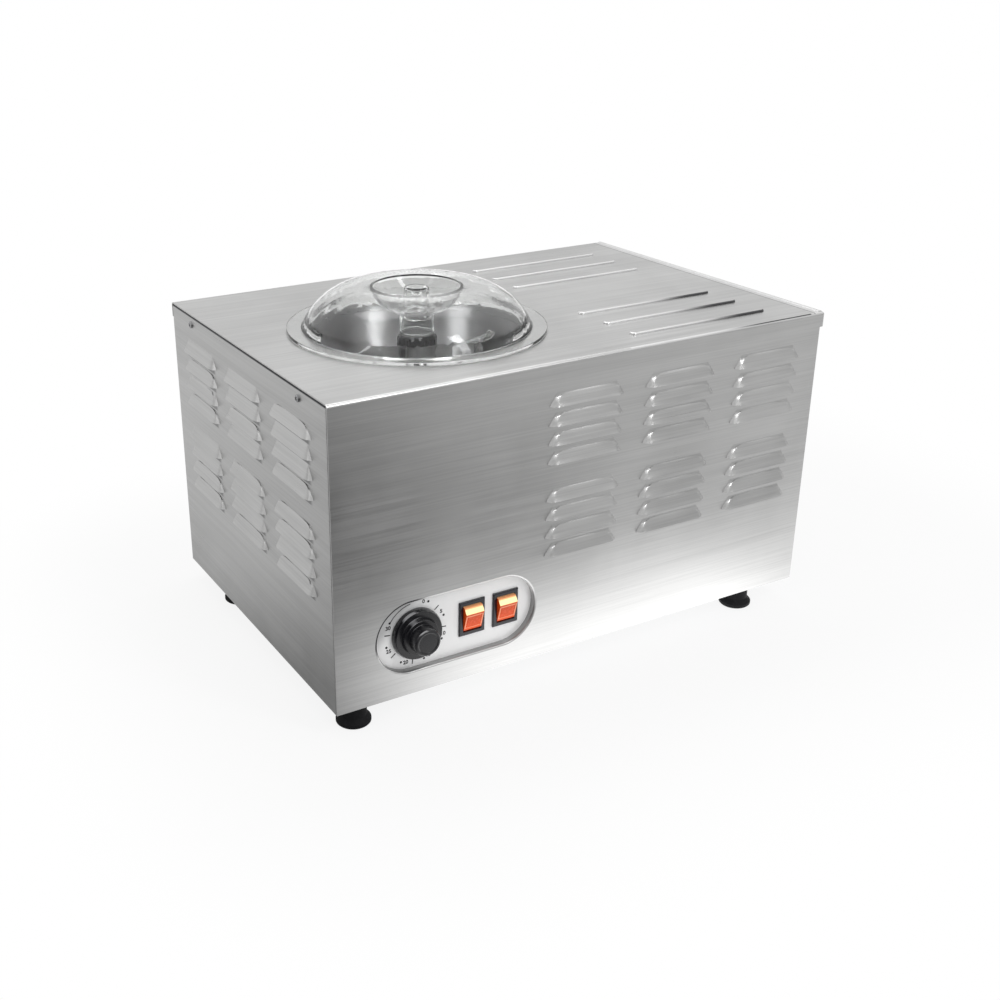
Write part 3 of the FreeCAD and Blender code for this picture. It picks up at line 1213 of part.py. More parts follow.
def make_condenser():
    body = new_body("condenser", (condenser_x, condenser_back, condenser_middle))
    face = drawing(body, "face", "XZ_Plane")
    rectangle(face, as_size(0), as_size(0), d.condenser_width, d.condenser_height)
    pad(body, face, "block", d.condenser_depth)
    first = -(d.fin_count - 1) * d.fin_pitch / 2
    for name, offset, flip in (("front", d.condenser_depth, False), ("back", as_size(0), True)):
        grooves = drawing(body, f"{name}_gaps", "XZ_Plane", offset)
        for step in range(int(d.fin_count.value)):
            rectangle(grooves, first + step * d.fin_pitch, as_size(0), d.fin_gap, d.condenser_height - d.fin_pitch)
        pocket(body, grooves, f"{name}_fins", d.fin_depth, flip=flip)
    shroud = new_body("fan_shroud", (condenser_x, condenser_back, condenser_middle))
    plate = drawing(shroud, "plate", "XZ_Plane")
    rectangle(plate, as_size(0), as_size(0), d.condenser_width, d.condenser_height)
    pad(shroud, plate, "plate_sheet", d.shroud_sheet, flip=True)
    ring = drawing(shroud, "ring", "XZ_Plane", -d.shroud_sheet)
    circle(ring, as_size(0), as_size(0), d.fan_radius + d.fan_gap + d.shroud_sheet)
    pad(shroud, ring, "ring_wall", d.shroud_ring, flip=True)
    bore = drawing(shroud, "bore", "XZ_Plane")
    circle(bore, as_size(0), as_size(0), d.fan_radius + d.fan_gap)
    pocket(shroud, bore, "air_way", d.shroud_sheet + d.shroud_ring)


def make_fan():
    fan = new_body("fan_blade", (condenser_x, fan_middle, condenser_middle))
    hub = drawing(fan, "hub", "XZ_Plane")
    circle(hub, as_size(0), as_size(0), d.fan_hub)
    pad(fan, hub, "hub_disc", d.fan_hub_length, both=True)
    sections = []
    for name, radius, degrees in (("root", d.fan_hub - d.fan_blade, 42), ("tip", d.fan_radius, 24)):
        along, across = math.sin(math.radians(degrees)), math.cos(math.radians(degrees))
        half, thick = d.fan_chord / 2, d.fan_blade / 2
        section = drawing(fan, name, "YZ_Plane", radius)
        outline(section, [
            (half * along - thick * across, half * across + thick * along),
            (half * along + thick * across, half * across - thick * along),
            (-half * along + thick * across, -half * across - thick * along),
            (-half * along - thick * across, -half * across + thick * along),
        ])
        sections.append(section)
    blade = lofted(fan, "blade", sections)
    blades = fan.newObject("PartDesign::PolarPattern", "fan_blade_set")
    blades.Originals = [blade]
    blades.Axis = axis_of(fan, "Y_Axis")
    blades.Angle = 360
    blades.Occurrences = 5
    fan.Tip = blades
    bore = drawing(fan, "bore", "XZ_Plane", -d.fan_hub_length / 2)
    circle(bore, as_size(0), as_size(0), d.fan_shaft + d.running_fit)
    pocket(fan, bore, "shaft_bore", d.fan_hub_length / 2, flip=True)
    motor = new_body("fan_motor", (condenser_x, fan_motor_front, condenser_middle))
    case = drawing(motor, "case", "XZ_Plane")
    circle(case, as_size(0), as_size(0), d.fan_motor_radius)
    pad(motor, case, "case_block", d.fan_motor_length, flip=True)
    shaft = drawing(motor, "shaft", "XZ_Plane")
    circle(shaft, as_size(0), as_size(0), d.fan_shaft)
    pad(motor, shaft, "shaft_end", d.fan_hub_length / 2)
    bracket = new_body("fan_bracket", (condenser_x, fan_motor_back, pan_floor))
    side = drawing(bracket, "side", "YZ_Plane")
    rise = d.condenser_height / 2 + d.fan_motor_radius
    outline(side, [
        (0, 0),
        (d.fan_bracket / 2, 0),
        (d.fan_bracket / 2, d.shroud_sheet),
        (d.shroud_sheet, d.shroud_sheet),
        (d.shroud_sheet, rise),
        (0, rise),
    ])
    pad(bracket, side, "folded", d.fan_bracket, both=True)


# Refrigerant pipes, the drier between them, and the compressor's terminal cover.
drier_x = bowl_x + jacket_inlet
drier_low = pan_floor + d.drier_low
drier_top = drier_low + d.drier_length
liquid_height = pan_floor + d.liquid_line
suction_height = pan_floor + d.suction_line
discharge_height = casing_top - d.discharge_line
condenser_axis = condenser_front + d.condenser_depth / 2
compressor_top = shell_low + d.compressor_height


def tube_run(body, name, plane, section_plane, offset, centre, corners):
    """A pipe along straight runs and tangent bends drawn in one plane of the body."""
    way = drawing(body, f"{name}_way", plane)
    outline(way, corners, closed=False)
    section = drawing(body, f"{name}_section", section_plane, offset)
    circle(section, centre[0], centre[1], d.pipe_radius)
    made = body.newObject("PartDesign::AdditivePipe", f"{body.Name}_{name}")
    made.Profile = section
    made.Spine = (way, [f"Edge{number + 1}" for number in range(len(corners) - 1)])
    return made


def make_pipes():
    bend = d.pipe_bend
    discharge = new_body("discharge_pipe", (compressor_x, 0, 0))
    tube_run(discharge, "run", "YZ_Plane", "XY_Plane", compressor_top, (as_size(0), d.compressor_y), [
        (d.compressor_y, compressor_top),
        (d.compressor_y, discharge_height - bend, bend, 1),
        (d.compressor_y - bend, discharge_height),
        (condenser_axis + bend, discharge_height, bend, 1),
        (condenser_axis, discharge_height - bend),
        (condenser_axis, pan_floor + d.condenser_height),
    ])
    suction = new_body("suction_pipe", (0, d.compressor_y, 0))
    tube_run(suction, "run", "XZ_Plane", "XY_Plane", jacket_low, (suction_x, as_size(0)), [
        (suction_x, jacket_low),
        (suction_x, suction_height + bend, bend, 1),
        (suction_x + bend, suction_height),
        (compressor_x - d.compressor_radius, suction_height),
    ])
    liquid = new_body("liquid_pipe", (drier_x, 0, liquid_height))
    tube_run(liquid, "plan", "XY_Plane", "YZ_Plane", condenser_x - d.condenser_width / 2 - drier_x,
             (condenser_axis, as_size(0)), [
                 (condenser_x - d.condenser_width / 2 - drier_x, condenser_axis),
                 (bend, condenser_axis, bend, -1),
                 (0, condenser_axis + bend),
                 (0, d.bowl_y - bend * 2),
             ])
    tube_run(liquid, "rise", "YZ_Plane", "XZ_Plane", bend * 2 - d.bowl_y, (as_size(0), as_size(0)), [
        (d.bowl_y - bend * 2, 0),
        (d.bowl_y - bend, 0, bend, 1),
        (d.bowl_y, bend),
        (d.bowl_y, drier_low - liquid_height),
    ])
    drier = new_body("filter_drier", (drier_x, d.bowl_y, 0))
    taper = d.drier_radius - d.pipe_radius
    turned(drier, "capsule", [
        (0, drier_low),
        (d.pipe_radius + d.sheet, drier_low),
        (d.drier_radius, drier_low + taper * 2),
        (d.drier_radius, drier_top - taper * 2),
        (d.pipe_radius + d.sheet, drier_top),
        (0, drier_top),
    ])
    feed = new_body("evaporator_feed_pipe", (drier_x, d.bowl_y, drier_top))
    plan = drawing(feed, "plan", "XY_Plane")
    circle(plan, as_size(0), as_size(0), d.pipe_radius)
    pad(feed, plan, "tube", jacket_low - drier_top)
    cover = new_body("terminal_cover", (compressor_x, d.compressor_y, shell_low + d.terminal_low))
    box = drawing(cover, "box", "XY_Plane")
    reach = d.compressor_radius + d.terminal_reach
    half = d.terminal_width / 2
    outline(box, [
        (-half, d.compressor_radius / 2),
        (half, d.compressor_radius / 2),
        (half, reach),
        (-half, reach),
    ])
    pad(cover, box, "box_block", d.terminal_height)
    shell = drawing(cover, "shell", "XY_Plane")
    circle(shell, as_size(0), as_size(0), d.compressor_radius + d.seat_gap)
    pocket(cover, shell, "shell_side", d.terminal_height, flip=True)


# Electrics: connection box with its cover, the motor's capacitor, switch terminals and the cord gland.
def make_electrics():
    low = pan_floor
    box_x, box_y = left + d.box_side, rear - d.box_back
    box = new_body("electrical_box", (box_x, box_y, low))
    plan = drawing(box, "plan", "XY_Plane")
    rectangle(plan, as_size(0), as_size(0), d.box_length, d.box_depth)
    pad(box, plan, "box_block", d.box_height)
    inside = drawing(box, "inside", "XY_Plane", d.box_wall)
    rectangle(inside, as_size(0), as_size(0), d.box_length - d.box_wall * 2, d.box_depth - d.box_wall * 2)
    pocket(box, inside, "box_inside", d.box_height, flip=True)
    cover = new_body("electrical_box_cover", (box_x, box_y, low + d.box_height))
    top = drawing(cover, "top", "XY_Plane")
    rectangle(top, as_size(0), as_size(0), d.box_length, d.box_depth)
    pad(cover, top, "top_plate", d.box_wall)
    rim = drawing(cover, "rim", "XY_Plane")
    reduce = (d.box_wall + d.seat_gap) * 2
    rectangle(rim, as_size(0), as_size(0), d.box_length - reduce, d.box_depth - reduce)
    pad(cover, rim, "rim_block", d.box_lid, flip=True)
    capacitor = new_body("motor_capacitor", (left + d.capacitor_side, rear - d.capacitor_back, low))
    capacitor_edge = d.panel_edge * 2
    turned(capacitor, "can", [
        (0, 0),
        (d.capacitor_radius, 0),
        (d.capacitor_radius, d.capacitor_length - capacitor_edge, capacitor_edge, 1),
        (d.capacitor_radius - capacitor_edge, d.capacitor_length),
        (0, d.capacitor_length),
    ])
    spades = new_body("switch_terminals", (switch_x, recess_floor + d.switch_depth,
                                           control_height - d.spade_pitch))
    face = drawing(spades, "face", "XZ_Plane")
    rectangle(face, as_size(0), as_size(0), d.spade_width, d.spade_sheet)
    spade = pad(spades, face, "spade", d.spade_length, flip=True)
    repeated(spades, "set", [spade], [("Z_Axis", d.spade_pitch, 3), ("X_Axis", d.switch_pitch, 2)])
    gland = new_body("cord_gland", (gland_x, rear - d.sheet, casing_low + d.gland_line))
    spun(gland, "sleeve", [
        (d.gland_bore, -d.sheet - d.gland_inside),
        (d.gland_thread, -d.sheet - d.gland_inside),
        (d.gland_thread, d.gland_flange + d.gland_nose / 2),
        (d.gland_bore + d.panel_edge * 2, d.gland_flange + d.gland_nose),
        (d.gland_bore, d.gland_flange + d.gland_nose),
    ])
    hexagon_ring(gland, "hexagon", d.gland_bore)
    nut = new_body("gland_nut", (gland_x, rear - d.sheet * 2 - d.gland_flange, casing_low + d.gland_line))
    hexagon_ring(nut, "nut", d.gland_thread + d.running_fit)


def hexagon_ring(body, name, bore):
    """A hexagon across the body's Y axis with a round bore."""
    sketch = drawing(body, name, "XZ_Plane")
    outline(sketch, [(d.gland_body * math.cos(turn * math.pi / 3), d.gland_body * math.sin(turn * math.pi / 3))
                     for turn in range(6)])
    circle(sketch, as_size(0), as_size(0), bore)
    pad(body, sketch, f"{name}_block", d.gland_flange, flip=True)


make_outer_cover()
make_panels()
make_screws("left_panel_screws", (left, d.screw_spread, screw_line), turn_left, d.screw_reach, d.screw_spread * 2, 2)
make_screws("right_panel_screws", (right, -d.screw_spread, screw_line), turn_right, d.screw_reach,
            d.screw_spread * 2, 2)
make_screws("rear_panel_screws", (d.screw_spread + d.screw_spread / 2, rear, screw_line), turn_back, d.screw_reach,
            d.screw_spread + d.screw_spread / 2, 3)
make_base_pan()
make_feet()
make_bowl()
make_drive()
make_dasher()
make_lid()
make_controls()
make_compressor()
make_condenser()
make_fan()
make_pipes()
make_electrics()

# Every piece is tested before any file is written.
doc.recompute()
failed = [item.Name for item in doc.Objects if "Invalid" in item.State or "Error" in item.State]
failed += [node.Label for node in nodes if node.Shape.isNull() or not node.Shape.isValid()]
if failed:
    raise RuntimeError(f"failed: {failed}")
for node in nodes:
    node.Shape.exportStep(f"parts/{node.Label}.step")
    print(node.Label, len(node.Shape.Solids), round(node.Shape.Volume), node.Shape.BoundBox)
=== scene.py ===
"""The looks of a table-top ice cream machine: steel casing, clear lid, lit switches and the works inside."""

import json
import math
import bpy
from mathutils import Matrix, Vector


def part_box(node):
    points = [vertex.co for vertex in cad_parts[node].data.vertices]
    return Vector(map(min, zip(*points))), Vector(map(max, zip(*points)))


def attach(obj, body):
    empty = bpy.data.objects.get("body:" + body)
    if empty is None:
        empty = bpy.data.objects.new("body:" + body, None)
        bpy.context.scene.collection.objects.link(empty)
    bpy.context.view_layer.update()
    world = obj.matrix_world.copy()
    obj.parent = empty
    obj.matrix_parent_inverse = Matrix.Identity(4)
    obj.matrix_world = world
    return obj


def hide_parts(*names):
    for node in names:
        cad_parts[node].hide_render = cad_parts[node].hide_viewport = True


bl_info = {
    "name": "Ice Cream Machine Looks",
    "version": (1, 0, 0),
    "blender": (4, 5, 0),
    "location": "3D View > Sidebar > Ice Cream",
    "description": "Dresses the frame of a table-top ice cream machine and sets up its studio",
    "category": "Object",
}

import bmesh
import bpy
from bpy.props import FloatProperty, FloatVectorProperty, PointerProperty
from mathutils import Matrix, Vector

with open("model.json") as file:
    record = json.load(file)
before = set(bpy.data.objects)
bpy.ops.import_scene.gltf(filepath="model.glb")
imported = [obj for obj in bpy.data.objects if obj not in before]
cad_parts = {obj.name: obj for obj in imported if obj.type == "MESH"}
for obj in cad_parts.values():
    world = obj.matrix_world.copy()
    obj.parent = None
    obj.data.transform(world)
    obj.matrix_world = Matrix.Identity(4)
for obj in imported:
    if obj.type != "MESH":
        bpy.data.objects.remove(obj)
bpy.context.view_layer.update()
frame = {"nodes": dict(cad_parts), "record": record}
record = frame["record"]
mm = 0.001
node_body = {node: body for body, nodes in record["behaviour"]["bodies"].items() for node in nodes}
node_slot = {entry["node"]: entry["material_slot"] for entry in record["subparts"]}

# Sizes of the casing and its controls that the finishes follow, as the frame has them.
hood_proud = 5.0 * mm
hood_height = 12.0 * mm
hood_pitch = 17.4 * mm
hood_step = 0.3 * mm  # small step at the foot of a hood, to be levelled
hood_levels = (110 * mm, 290 * mm)  # heights between which louvres are cut
lowest_lip = 120.4 * mm  # lower edge of the side panels' lowest hoods
group_lift = 5 * hood_pitch  # from the lower group of louvres to the upper one
group_span = (-6.0 * mm, 59.0 * mm)  # a group's shade, from its lowest lip
side_columns = (-103.0 * mm, -1.5 * mm, 100.0 * mm)
column_half = 35.0 * mm
front_louvres = 60 * mm  # the front's louvres start so far left of its middle
recess_side = 118.5 * mm
recess_length = 158.0 * mm
recess_radius = 33.0 * mm
rib_side = 119.5 * mm
rib_reach = 225.0 * mm  # the ribs and their rounded ends, from the right edge
hem_width = 12.0 * mm
bezel_thick = 2.0 * mm
print_thick = 0.08 * mm


# Materials. A Wire is a socket's value that Python can calculate with.
class Wire:
    """A value in a material. Calculating with it adds Math nodes."""

    def __init__(self, finish, socket):
        self.finish = finish
        self.socket = socket

    def math(self, operation, *others):
        return self.finish.node("ShaderNodeMath", {"operation": operation}, dict(enumerate([self, *others])))

    def __add__(self, other):
        return self.math("ADD", other)

    __radd__ = __add__

    def __sub__(self, other):
        return self.math("SUBTRACT", other)

    def __rsub__(self, other):
        return self.finish.node("ShaderNodeMath", {"operation": "SUBTRACT"}, {0: other, 1: self})

    def __mul__(self, other):
        return self.math("MULTIPLY", other)

    def __truediv__(self, other):
        return self.math("DIVIDE", other)

    def __abs__(self):
        return self.math("ABSOLUTE")

    def __gt__(self, other):
        return self.math("GREATER_THAN", other)

    def __lt__(self, other):
        return self.math("LESS_THAN", other)

    def ramp(self, low, high, first=0.0, last=1.0):
        """This value, carried smoothly from low..high to first..last and held beyond."""
        return self.finish.node("ShaderNodeMapRange", {"interpolation_type": "SMOOTHSTEP"}, {
            "Value": self, "From Min": low, "From Max": high, "To Min": first, "To Max": last})

    def fall(self, low, high):
        """1 up to low, 0 from high on."""
        return self.ramp(low, high, 1.0, 0.0)

    def band(self, start, full, fade, end):
        """1 between full and fade, 0 outside start..end."""
        return self.ramp(start, full) * self.fall(fade, end)


class Network:
    """The nodes of a material or of the world."""

    def __init__(self, tree):
        self.nodes = tree.nodes
        self.links = tree.links

    def feed(self, socket, value):
        """Gives a socket a link or a constant."""
        if isinstance(value, Wire):
            self.links.new(value.socket, socket)
        elif socket.type == "RGBA":
            socket.default_value = (*value[:3], 1.0)
        else:
            socket.default_value = value

    def ray(self, name):
        """What the light path says of the ray that is being followed."""
        return self.node("ShaderNodeLightPath", output=name)

    def part(self, vector, letter):
        """One part of a vector."""
        return self.node("ShaderNodeSeparateXYZ", None, {0: vector}, letter)

    def node(self, kind, settings=None, inputs=None, output=0):
        """Adds a node: its settings first, then the values or links of its sockets."""
        made = self.nodes.new(kind)
        for name, value in (settings or {}).items():
            setattr(made, name, value)
        for socket, value in (inputs or {}).items():
            self.feed(made.inputs[socket], value)
        return Wire(self, made.outputs[output])


class Finish(Network):
    """A material with one Principled shader, whose constants sit on the shader's own sockets."""

    def __init__(self, name, constants=None):
        self.material = bpy.data.materials.new(name)
        self.material.use_nodes = True
        super().__init__(self.material.node_tree)
        self.shader = self.nodes["Principled BSDF"]
        for socket, value in (constants or {}).items():
            self.set(socket, value)

    def set(self, socket, value):
        """Gives one socket of the shader a link or a constant."""
        self.feed(self.shader.inputs[socket], value)

    def here(self):
        """Object coordinates in metres."""
        return self.node("ShaderNodeTexCoord", output="Object")

    def placed(self, scale, shift=(0, 0, 0)):
        """Object coordinates, scaled evenly or along each axis, and shifted."""
        scale = scale if isinstance(scale, tuple) else (scale,) * 3
        return self.node("ShaderNodeMapping", None, {
            "Vector": self.here(), "Scale": scale, "Location": shift})

    def axis(self, letter):
        """One object coordinate in metres."""
        return self.part(self.here(), letter)

    def facing(self, letter):
        """How far the surface faces along one axis, from -1 to 1."""
        return self.part(self.node("ShaderNodeTexCoord", output="Normal"), letter)

    def noise(self, place, detail=3.0, roughness=0.5, distortion=0.0):
        """Smooth noise from 0 to 1, at a vector or at the scaled object coordinates."""
        place = place if isinstance(place, Wire) else self.placed(place)
        return self.node("ShaderNodeTexNoise", None, {
            "Vector": place, "Scale": 1.0, "Detail": detail, "Roughness": roughness,
            "Distortion": distortion})

    def mix(self, factor, first, second):
        """A colour between two colours."""
        return self.node("ShaderNodeMix", {"data_type": "RGBA"}, {0: factor, 6: first, 7: second}, 2)

    def bump(self, height, distance, strength=1.0):
        """Surface relief, whose distance is its height in metres."""
        self.set("Normal", self.node("ShaderNodeBump", None, {
            "Height": height, "Distance": distance, "Strength": strength}))
        return self.material


def shade(colour, factor):
    """A colour made lighter or darker."""
    return tuple(min(channel * factor, 1.0) for channel in colour[:3])


def brushed_steel(name, colour, grain, roughness, cloud, *details):
    """Stainless sheet with its grain along one axis, faint clouds and a few hairline scratches."""
    finish = Finish(name, {"Metallic": 1.0})
    along, across = 7.0, 620.0
    streak_scale = tuple(along if letter == grain else across for letter in "XYZ")
    fine = finish.noise(streak_scale, 5.0, 0.65)
    wide_scale = tuple(channel * 0.22 for channel in streak_scale)
    wide = finish.noise(finish.placed(wide_scale, (3.1, 1.7, 0.4)), 3.0, 0.5)
    mottle = finish.noise(9, 4.0, 0.55, 0.4)
    hair_scale = tuple(2.2 if letter == grain else 900.0 for letter in "XYZ")
    hair = finish.noise(finish.placed(hair_scale, (7.7, 2.3, 5.9)), 2.0, 0.4).ramp(0.72, 0.8)
    tone = fine * 0.45 + wide * 0.25 + mottle * 0.3
    sheet = finish.mix(tone.ramp(0.36, 0.64), shade(colour, 0.9), shade(colour, 1.08))
    for detail, places in details:
        sheet = detail(finish, sheet, *places)
    finish.set("Base Color", sheet)
    finish.set("Roughness", (fine - 0.5) * 0.22 + (mottle - 0.5) * cloud * 2 + roughness - hair * 0.06)
    return finish.bump(fine * 0.7 + wide * 0.3 + hair * 0.1, 0.02 * mm, 0.55)


def dark_seams(finish, sheet, top, front):
    """Painted shadow along the seam under the cover's edges, and painted shade on the sheet between the
    louvres.
    """
    # Painted shadow: darker along the top edge and along the front edge of the side panels.
    seam = finish.axis("Z").ramp(top - 2.0 * mm, top - 1.0 * mm)
    corner = finish.axis("Y").ramp(front + 2.4 * mm, front + 1.2 * mm)
    flat = abs(finish.facing("X")).ramp(0.985, 0.998)
    near, far = column_half - 3.0 * mm, column_half + 3.0 * mm
    columns = sum(abs(finish.axis("Y") - column).fall(near, far)
                  for column in side_columns)
    level = finish.axis("Z") - lowest_lip
    # Painted shade on the flat sheet just under each hood's lip, within the louvre columns.
    gap = level.math("FLOORED_MODULO", hood_pitch).ramp(hood_height - 0.4 * mm, hood_height + 0.8 * mm)
    first, last = group_span
    groups = sum(group.band(first, first + 1.0 * mm, last - 1.0 * mm, last)
                 for group in (level, level - group_lift))
    # Mixes in the painted shade under the hoods, then the painted seam shadow.
    sheet = finish.mix(columns * gap * groups * flat * 0.6, sheet, (0.1, 0.1, 0.105))
    return finish.mix(seam.math("MAXIMUM", corner), sheet, (0.05, 0.05, 0.055))


def pressed_top(finish, sheet, right, top, rib):
    """Painted highlight on the flattened hem along the right edge of the top, with painted shade lines along
    its edges, and painted shade and painted highlight on the sides of its ribs.
    """
    above = finish.axis("Z").ramp(top - 3.0 * mm, top - 2.6 * mm)
    inward = right - finish.axis("X")
    past_hem = inward - hem_width
    hem = past_hem.fall(-0.8 * mm, 0.0) * above
    lines = past_hem.band(-0.6 * mm, 0.0, 0.8 * mm, 1.4 * mm) * 0.5
    lines = (lines + inward.ramp(0.8 * mm, 1.6 * mm, 0.7, 0.0)) * above
    # Painted highlight on the hem and painted shade lines beside it.
    sheet = finish.mix(hem * 0.5, sheet, (0.97, 0.97, 0.97))
    sheet = finish.mix(lines, sheet, (0.16, 0.16, 0.165))
    tilted = finish.facing("Z").fall(0.94, 0.995)
    ribbed = past_hem.ramp(4.0 * mm, 6.0 * mm) * inward.fall(rib_reach, rib_reach + 3.0 * mm)
    slope = tilted * above * ribbed
    rib_shade_side = (finish.axis("Y") < 0.0) * finish.axis("X").ramp(rib - 20.0 * mm, rib + 45.0 * mm)
    # Painted shade on the front sides of the ribs towards the right, painted highlight on the rest of their
    # sides.
    sheet = finish.mix(slope * rib_shade_side * 0.9, sheet, (0.05, 0.05, 0.055))
    return finish.mix(slope * (1.0 - rib_shade_side) * 0.6, sheet, (1.0, 1.0, 1.0))


def satin_recess(finish, sheet, left, right, face):
    """The drawn recess of the controls: a floor made pale and less metallic as painted light, painted shade
    on its lower walls and behind the knob, a painted highlight along its lip and a painted shade band at its
    rim behind the knob.
    """
    half = (right.x - left.x) / 2
    aside = (abs(finish.axis("X") - (left.x + half)) - half).math("MAXIMUM", 0.0)
    rise = finish.axis("Z") - left.z
    reach = (aside * aside + rise * rise).math("SQRT")
    wide = reach - recess_radius
    inside = wide.fall(1.5 * mm, 2.5 * mm)
    sunk = inside * finish.axis("Y").ramp(face + 0.1 * mm, face + 0.8 * mm)
    flat = (finish.facing("Y") * -1.0).ramp(0.75, 0.98)
    floor = sunk * flat
    behind = ((rise - (finish.axis("X") - left.x)) * 0.707).ramp(12.0 * mm, 24.0 * mm)
    # The less metallic floor is part of the floor's painted light.
    finish.set("Metallic", 1.0 - floor * 0.85)
    lower = rise.fall(6.0 * mm, 18.0 * mm)
    # Painted shade on the lower walls.
    painted_wall_shade = finish.mix(sunk * (1.0 - flat) * lower, sheet, (0.36, 0.36, 0.36))
    rim_shade = wide.band(-1.2 * mm, -0.4 * mm, 1.8 * mm, 2.4 * mm)
    painted_floor_light = finish.mix(floor, painted_wall_shade, (0.95, 0.95, 0.95))
    # Painted shadow of the knob and the wall on the floor behind the knob.
    painted_floor_light = finish.mix(floor * behind * 0.5, painted_floor_light, (0.2, 0.2, 0.205))
    lip_highlight = wide.band(-2.9 * mm, -2.4 * mm, -1.7 * mm, -1.2 * mm)
    # Painted highlight along the lip behind the knob.
    painted_floor_light = finish.mix(lip_highlight * behind, painted_floor_light, (1.0, 1.0, 1.0))
    # Painted shade band at the rim behind the knob.
    return finish.mix(rim_shade * behind, painted_floor_light, (0.03, 0.03, 0.035))


def spun_steel(name, colour, centre, roughness=0.14):
    """Polished sheet spun about an upright axis, with rings left by the tool."""
    finish = Finish(name, {"Metallic": 1.0, "Anisotropic": 1.0, "Anisotropic Rotation": 0.25})
    across = finish.axis("X") - centre.x
    deep = finish.axis("Y") - centre.y
    radius = (across * across + deep * deep).math("SQRT")
    rings = finish.node("ShaderNodeCombineXYZ", None, {0: radius * 900, 1: finish.axis("Z") * 900})
    fine = finish.noise(rings, 3.0, 0.6)
    mottle = finish.noise(22, 3.0)
    finish.set("Base Color", finish.mix(mottle.ramp(0.35, 0.65), shade(colour, 0.93), shade(colour, 1.05)))
    finish.set("Roughness", (fine - 0.5) * 0.1 + (mottle - 0.5) * 0.08 + roughness)
    return finish.bump(fine, 0.012 * mm, 0.5)


def moulded_plastic(name, colour, roughness=0.38, grain=0.03, coat=0.0, painted_highlight_toward=None):
    """Injection-moulded plastic: a fine even grain, slight flow marks and, if a direction is given, a painted
    highlight on the faces that turn towards it.
    """
    finish = Finish(name, {"Metallic": 0.0, "IOR": 1.5, "Coat Weight": coat, "Coat Roughness": 0.12})
    spark = finish.noise(2400, 2.0, 0.5)
    flow = finish.noise(60, 3.0, 0.5, 0.6)
    body = finish.mix(flow.ramp(0.3, 0.7), shade(colour, 0.82), shade(colour, 1.18))
    if painted_highlight_toward:
        toward = sum(finish.facing(letter) * share for letter, share in zip("XYZ", painted_highlight_toward))
        # Painted highlight on the faces that turn towards the given direction.
        body = finish.mix(toward.ramp(0.93, 0.98), body, (0.36, 0.36, 0.37))
    finish.set("Base Color", body)
    finish.set("Roughness", (flow - 0.5) * 0.16 + (spark - 0.5) * 0.08 + roughness)
    return finish.bump(spark, grain * mm, 0.5)


def rubber(name, colour):
    """Soft black rubber with dust in its pores."""
    finish = Finish(name, {"Metallic": 0.0, "Specular IOR Level": 0.2})
    pores = finish.noise(1500, 3.0, 0.6)
    dust = finish.noise(130, 4.0, 0.6)
    finish.set("Base Color", finish.mix(dust.ramp(0.45, 0.75), colour, shade(colour, 1.7)))
    finish.set("Roughness", (pores - 0.5) * 0.15 + dust * 0.12 + 0.62)
    return finish.bump(pores, 0.05 * mm, 0.5)


def coated_metal(name, colour, roughness=0.4):
    """Sprayed enamel with orange peel."""
    finish = Finish(name, {"Metallic": 0.0, "Coat Weight": 0.25, "Coat Roughness": 0.2})
    peel = finish.noise(420, 2.0, 0.5)
    stain = finish.noise(30, 4.0, 0.6)
    finish.set("Base Color", finish.mix(stain.ramp(0.35, 0.75), shade(colour, 0.85), shade(colour, 1.3)))
    finish.set("Roughness", (stain - 0.5) * 0.2 + roughness)
    return finish.bump(peel, 0.06 * mm, 0.4)


def cast_metal(name, colour):
    """Sand-cast or galvanised metal with a grainy, spangled skin."""
    finish = Finish(name, {"Metallic": 1.0})
    grains = finish.noise(700, 3.0, 0.6)
    spangle = finish.node("ShaderNodeTexVoronoi", None, {
        "Vector": finish.placed(110), "Scale": 1.0}, "Color")
    tone = finish.part(spangle, "X")
    finish.set("Base Color", finish.mix(tone, shade(colour, 0.86), shade(colour, 1.1)))
    finish.set("Roughness", tone * 0.14 + grains * 0.1 + 0.36)
    return finish.bump(grains, 0.04 * mm, 0.5)


def bright_metal(name, colour, roughness=0.16):
    """Turned and polished metal, such as screws, shafts and tube."""
    finish = Finish(name, {"Metallic": 1.0})
    wear = finish.noise(240, 4.0, 0.6)
    lines = finish.noise((500, 500, 3000), 2.0, 0.5)
    finish.set("Base Color", finish.mix(wear.ramp(0.35, 0.7), shade(colour, 0.86), shade(colour, 1.08)))
    finish.set("Roughness", (wear - 0.5) * 0.14 + (lines - 0.5) * 0.06 + roughness)
    return finish.bump(lines, 0.01 * mm, 0.4)


def clear_plastic(name, tint):
    """Clear moulded plastic: smooth, with a slight ripple and faint wiping marks."""
    finish = Finish(name, {"Metallic": 0.0, "IOR": 1.41, "Transmission Weight": 1.0})
    ripple = finish.noise(26, 2.0, 0.4)
    wiped = finish.noise((190, 190, 60), 4.0, 0.6)
    finish.set("Base Color", finish.mix(wiped.ramp(0.3, 0.8), tint, shade(tint, 0.97)))
    finish.set("Roughness", wiped.ramp(0.45, 0.75, 0.015, 0.06))
    return finish.bump(ripple, 0.25 * mm, 0.35)


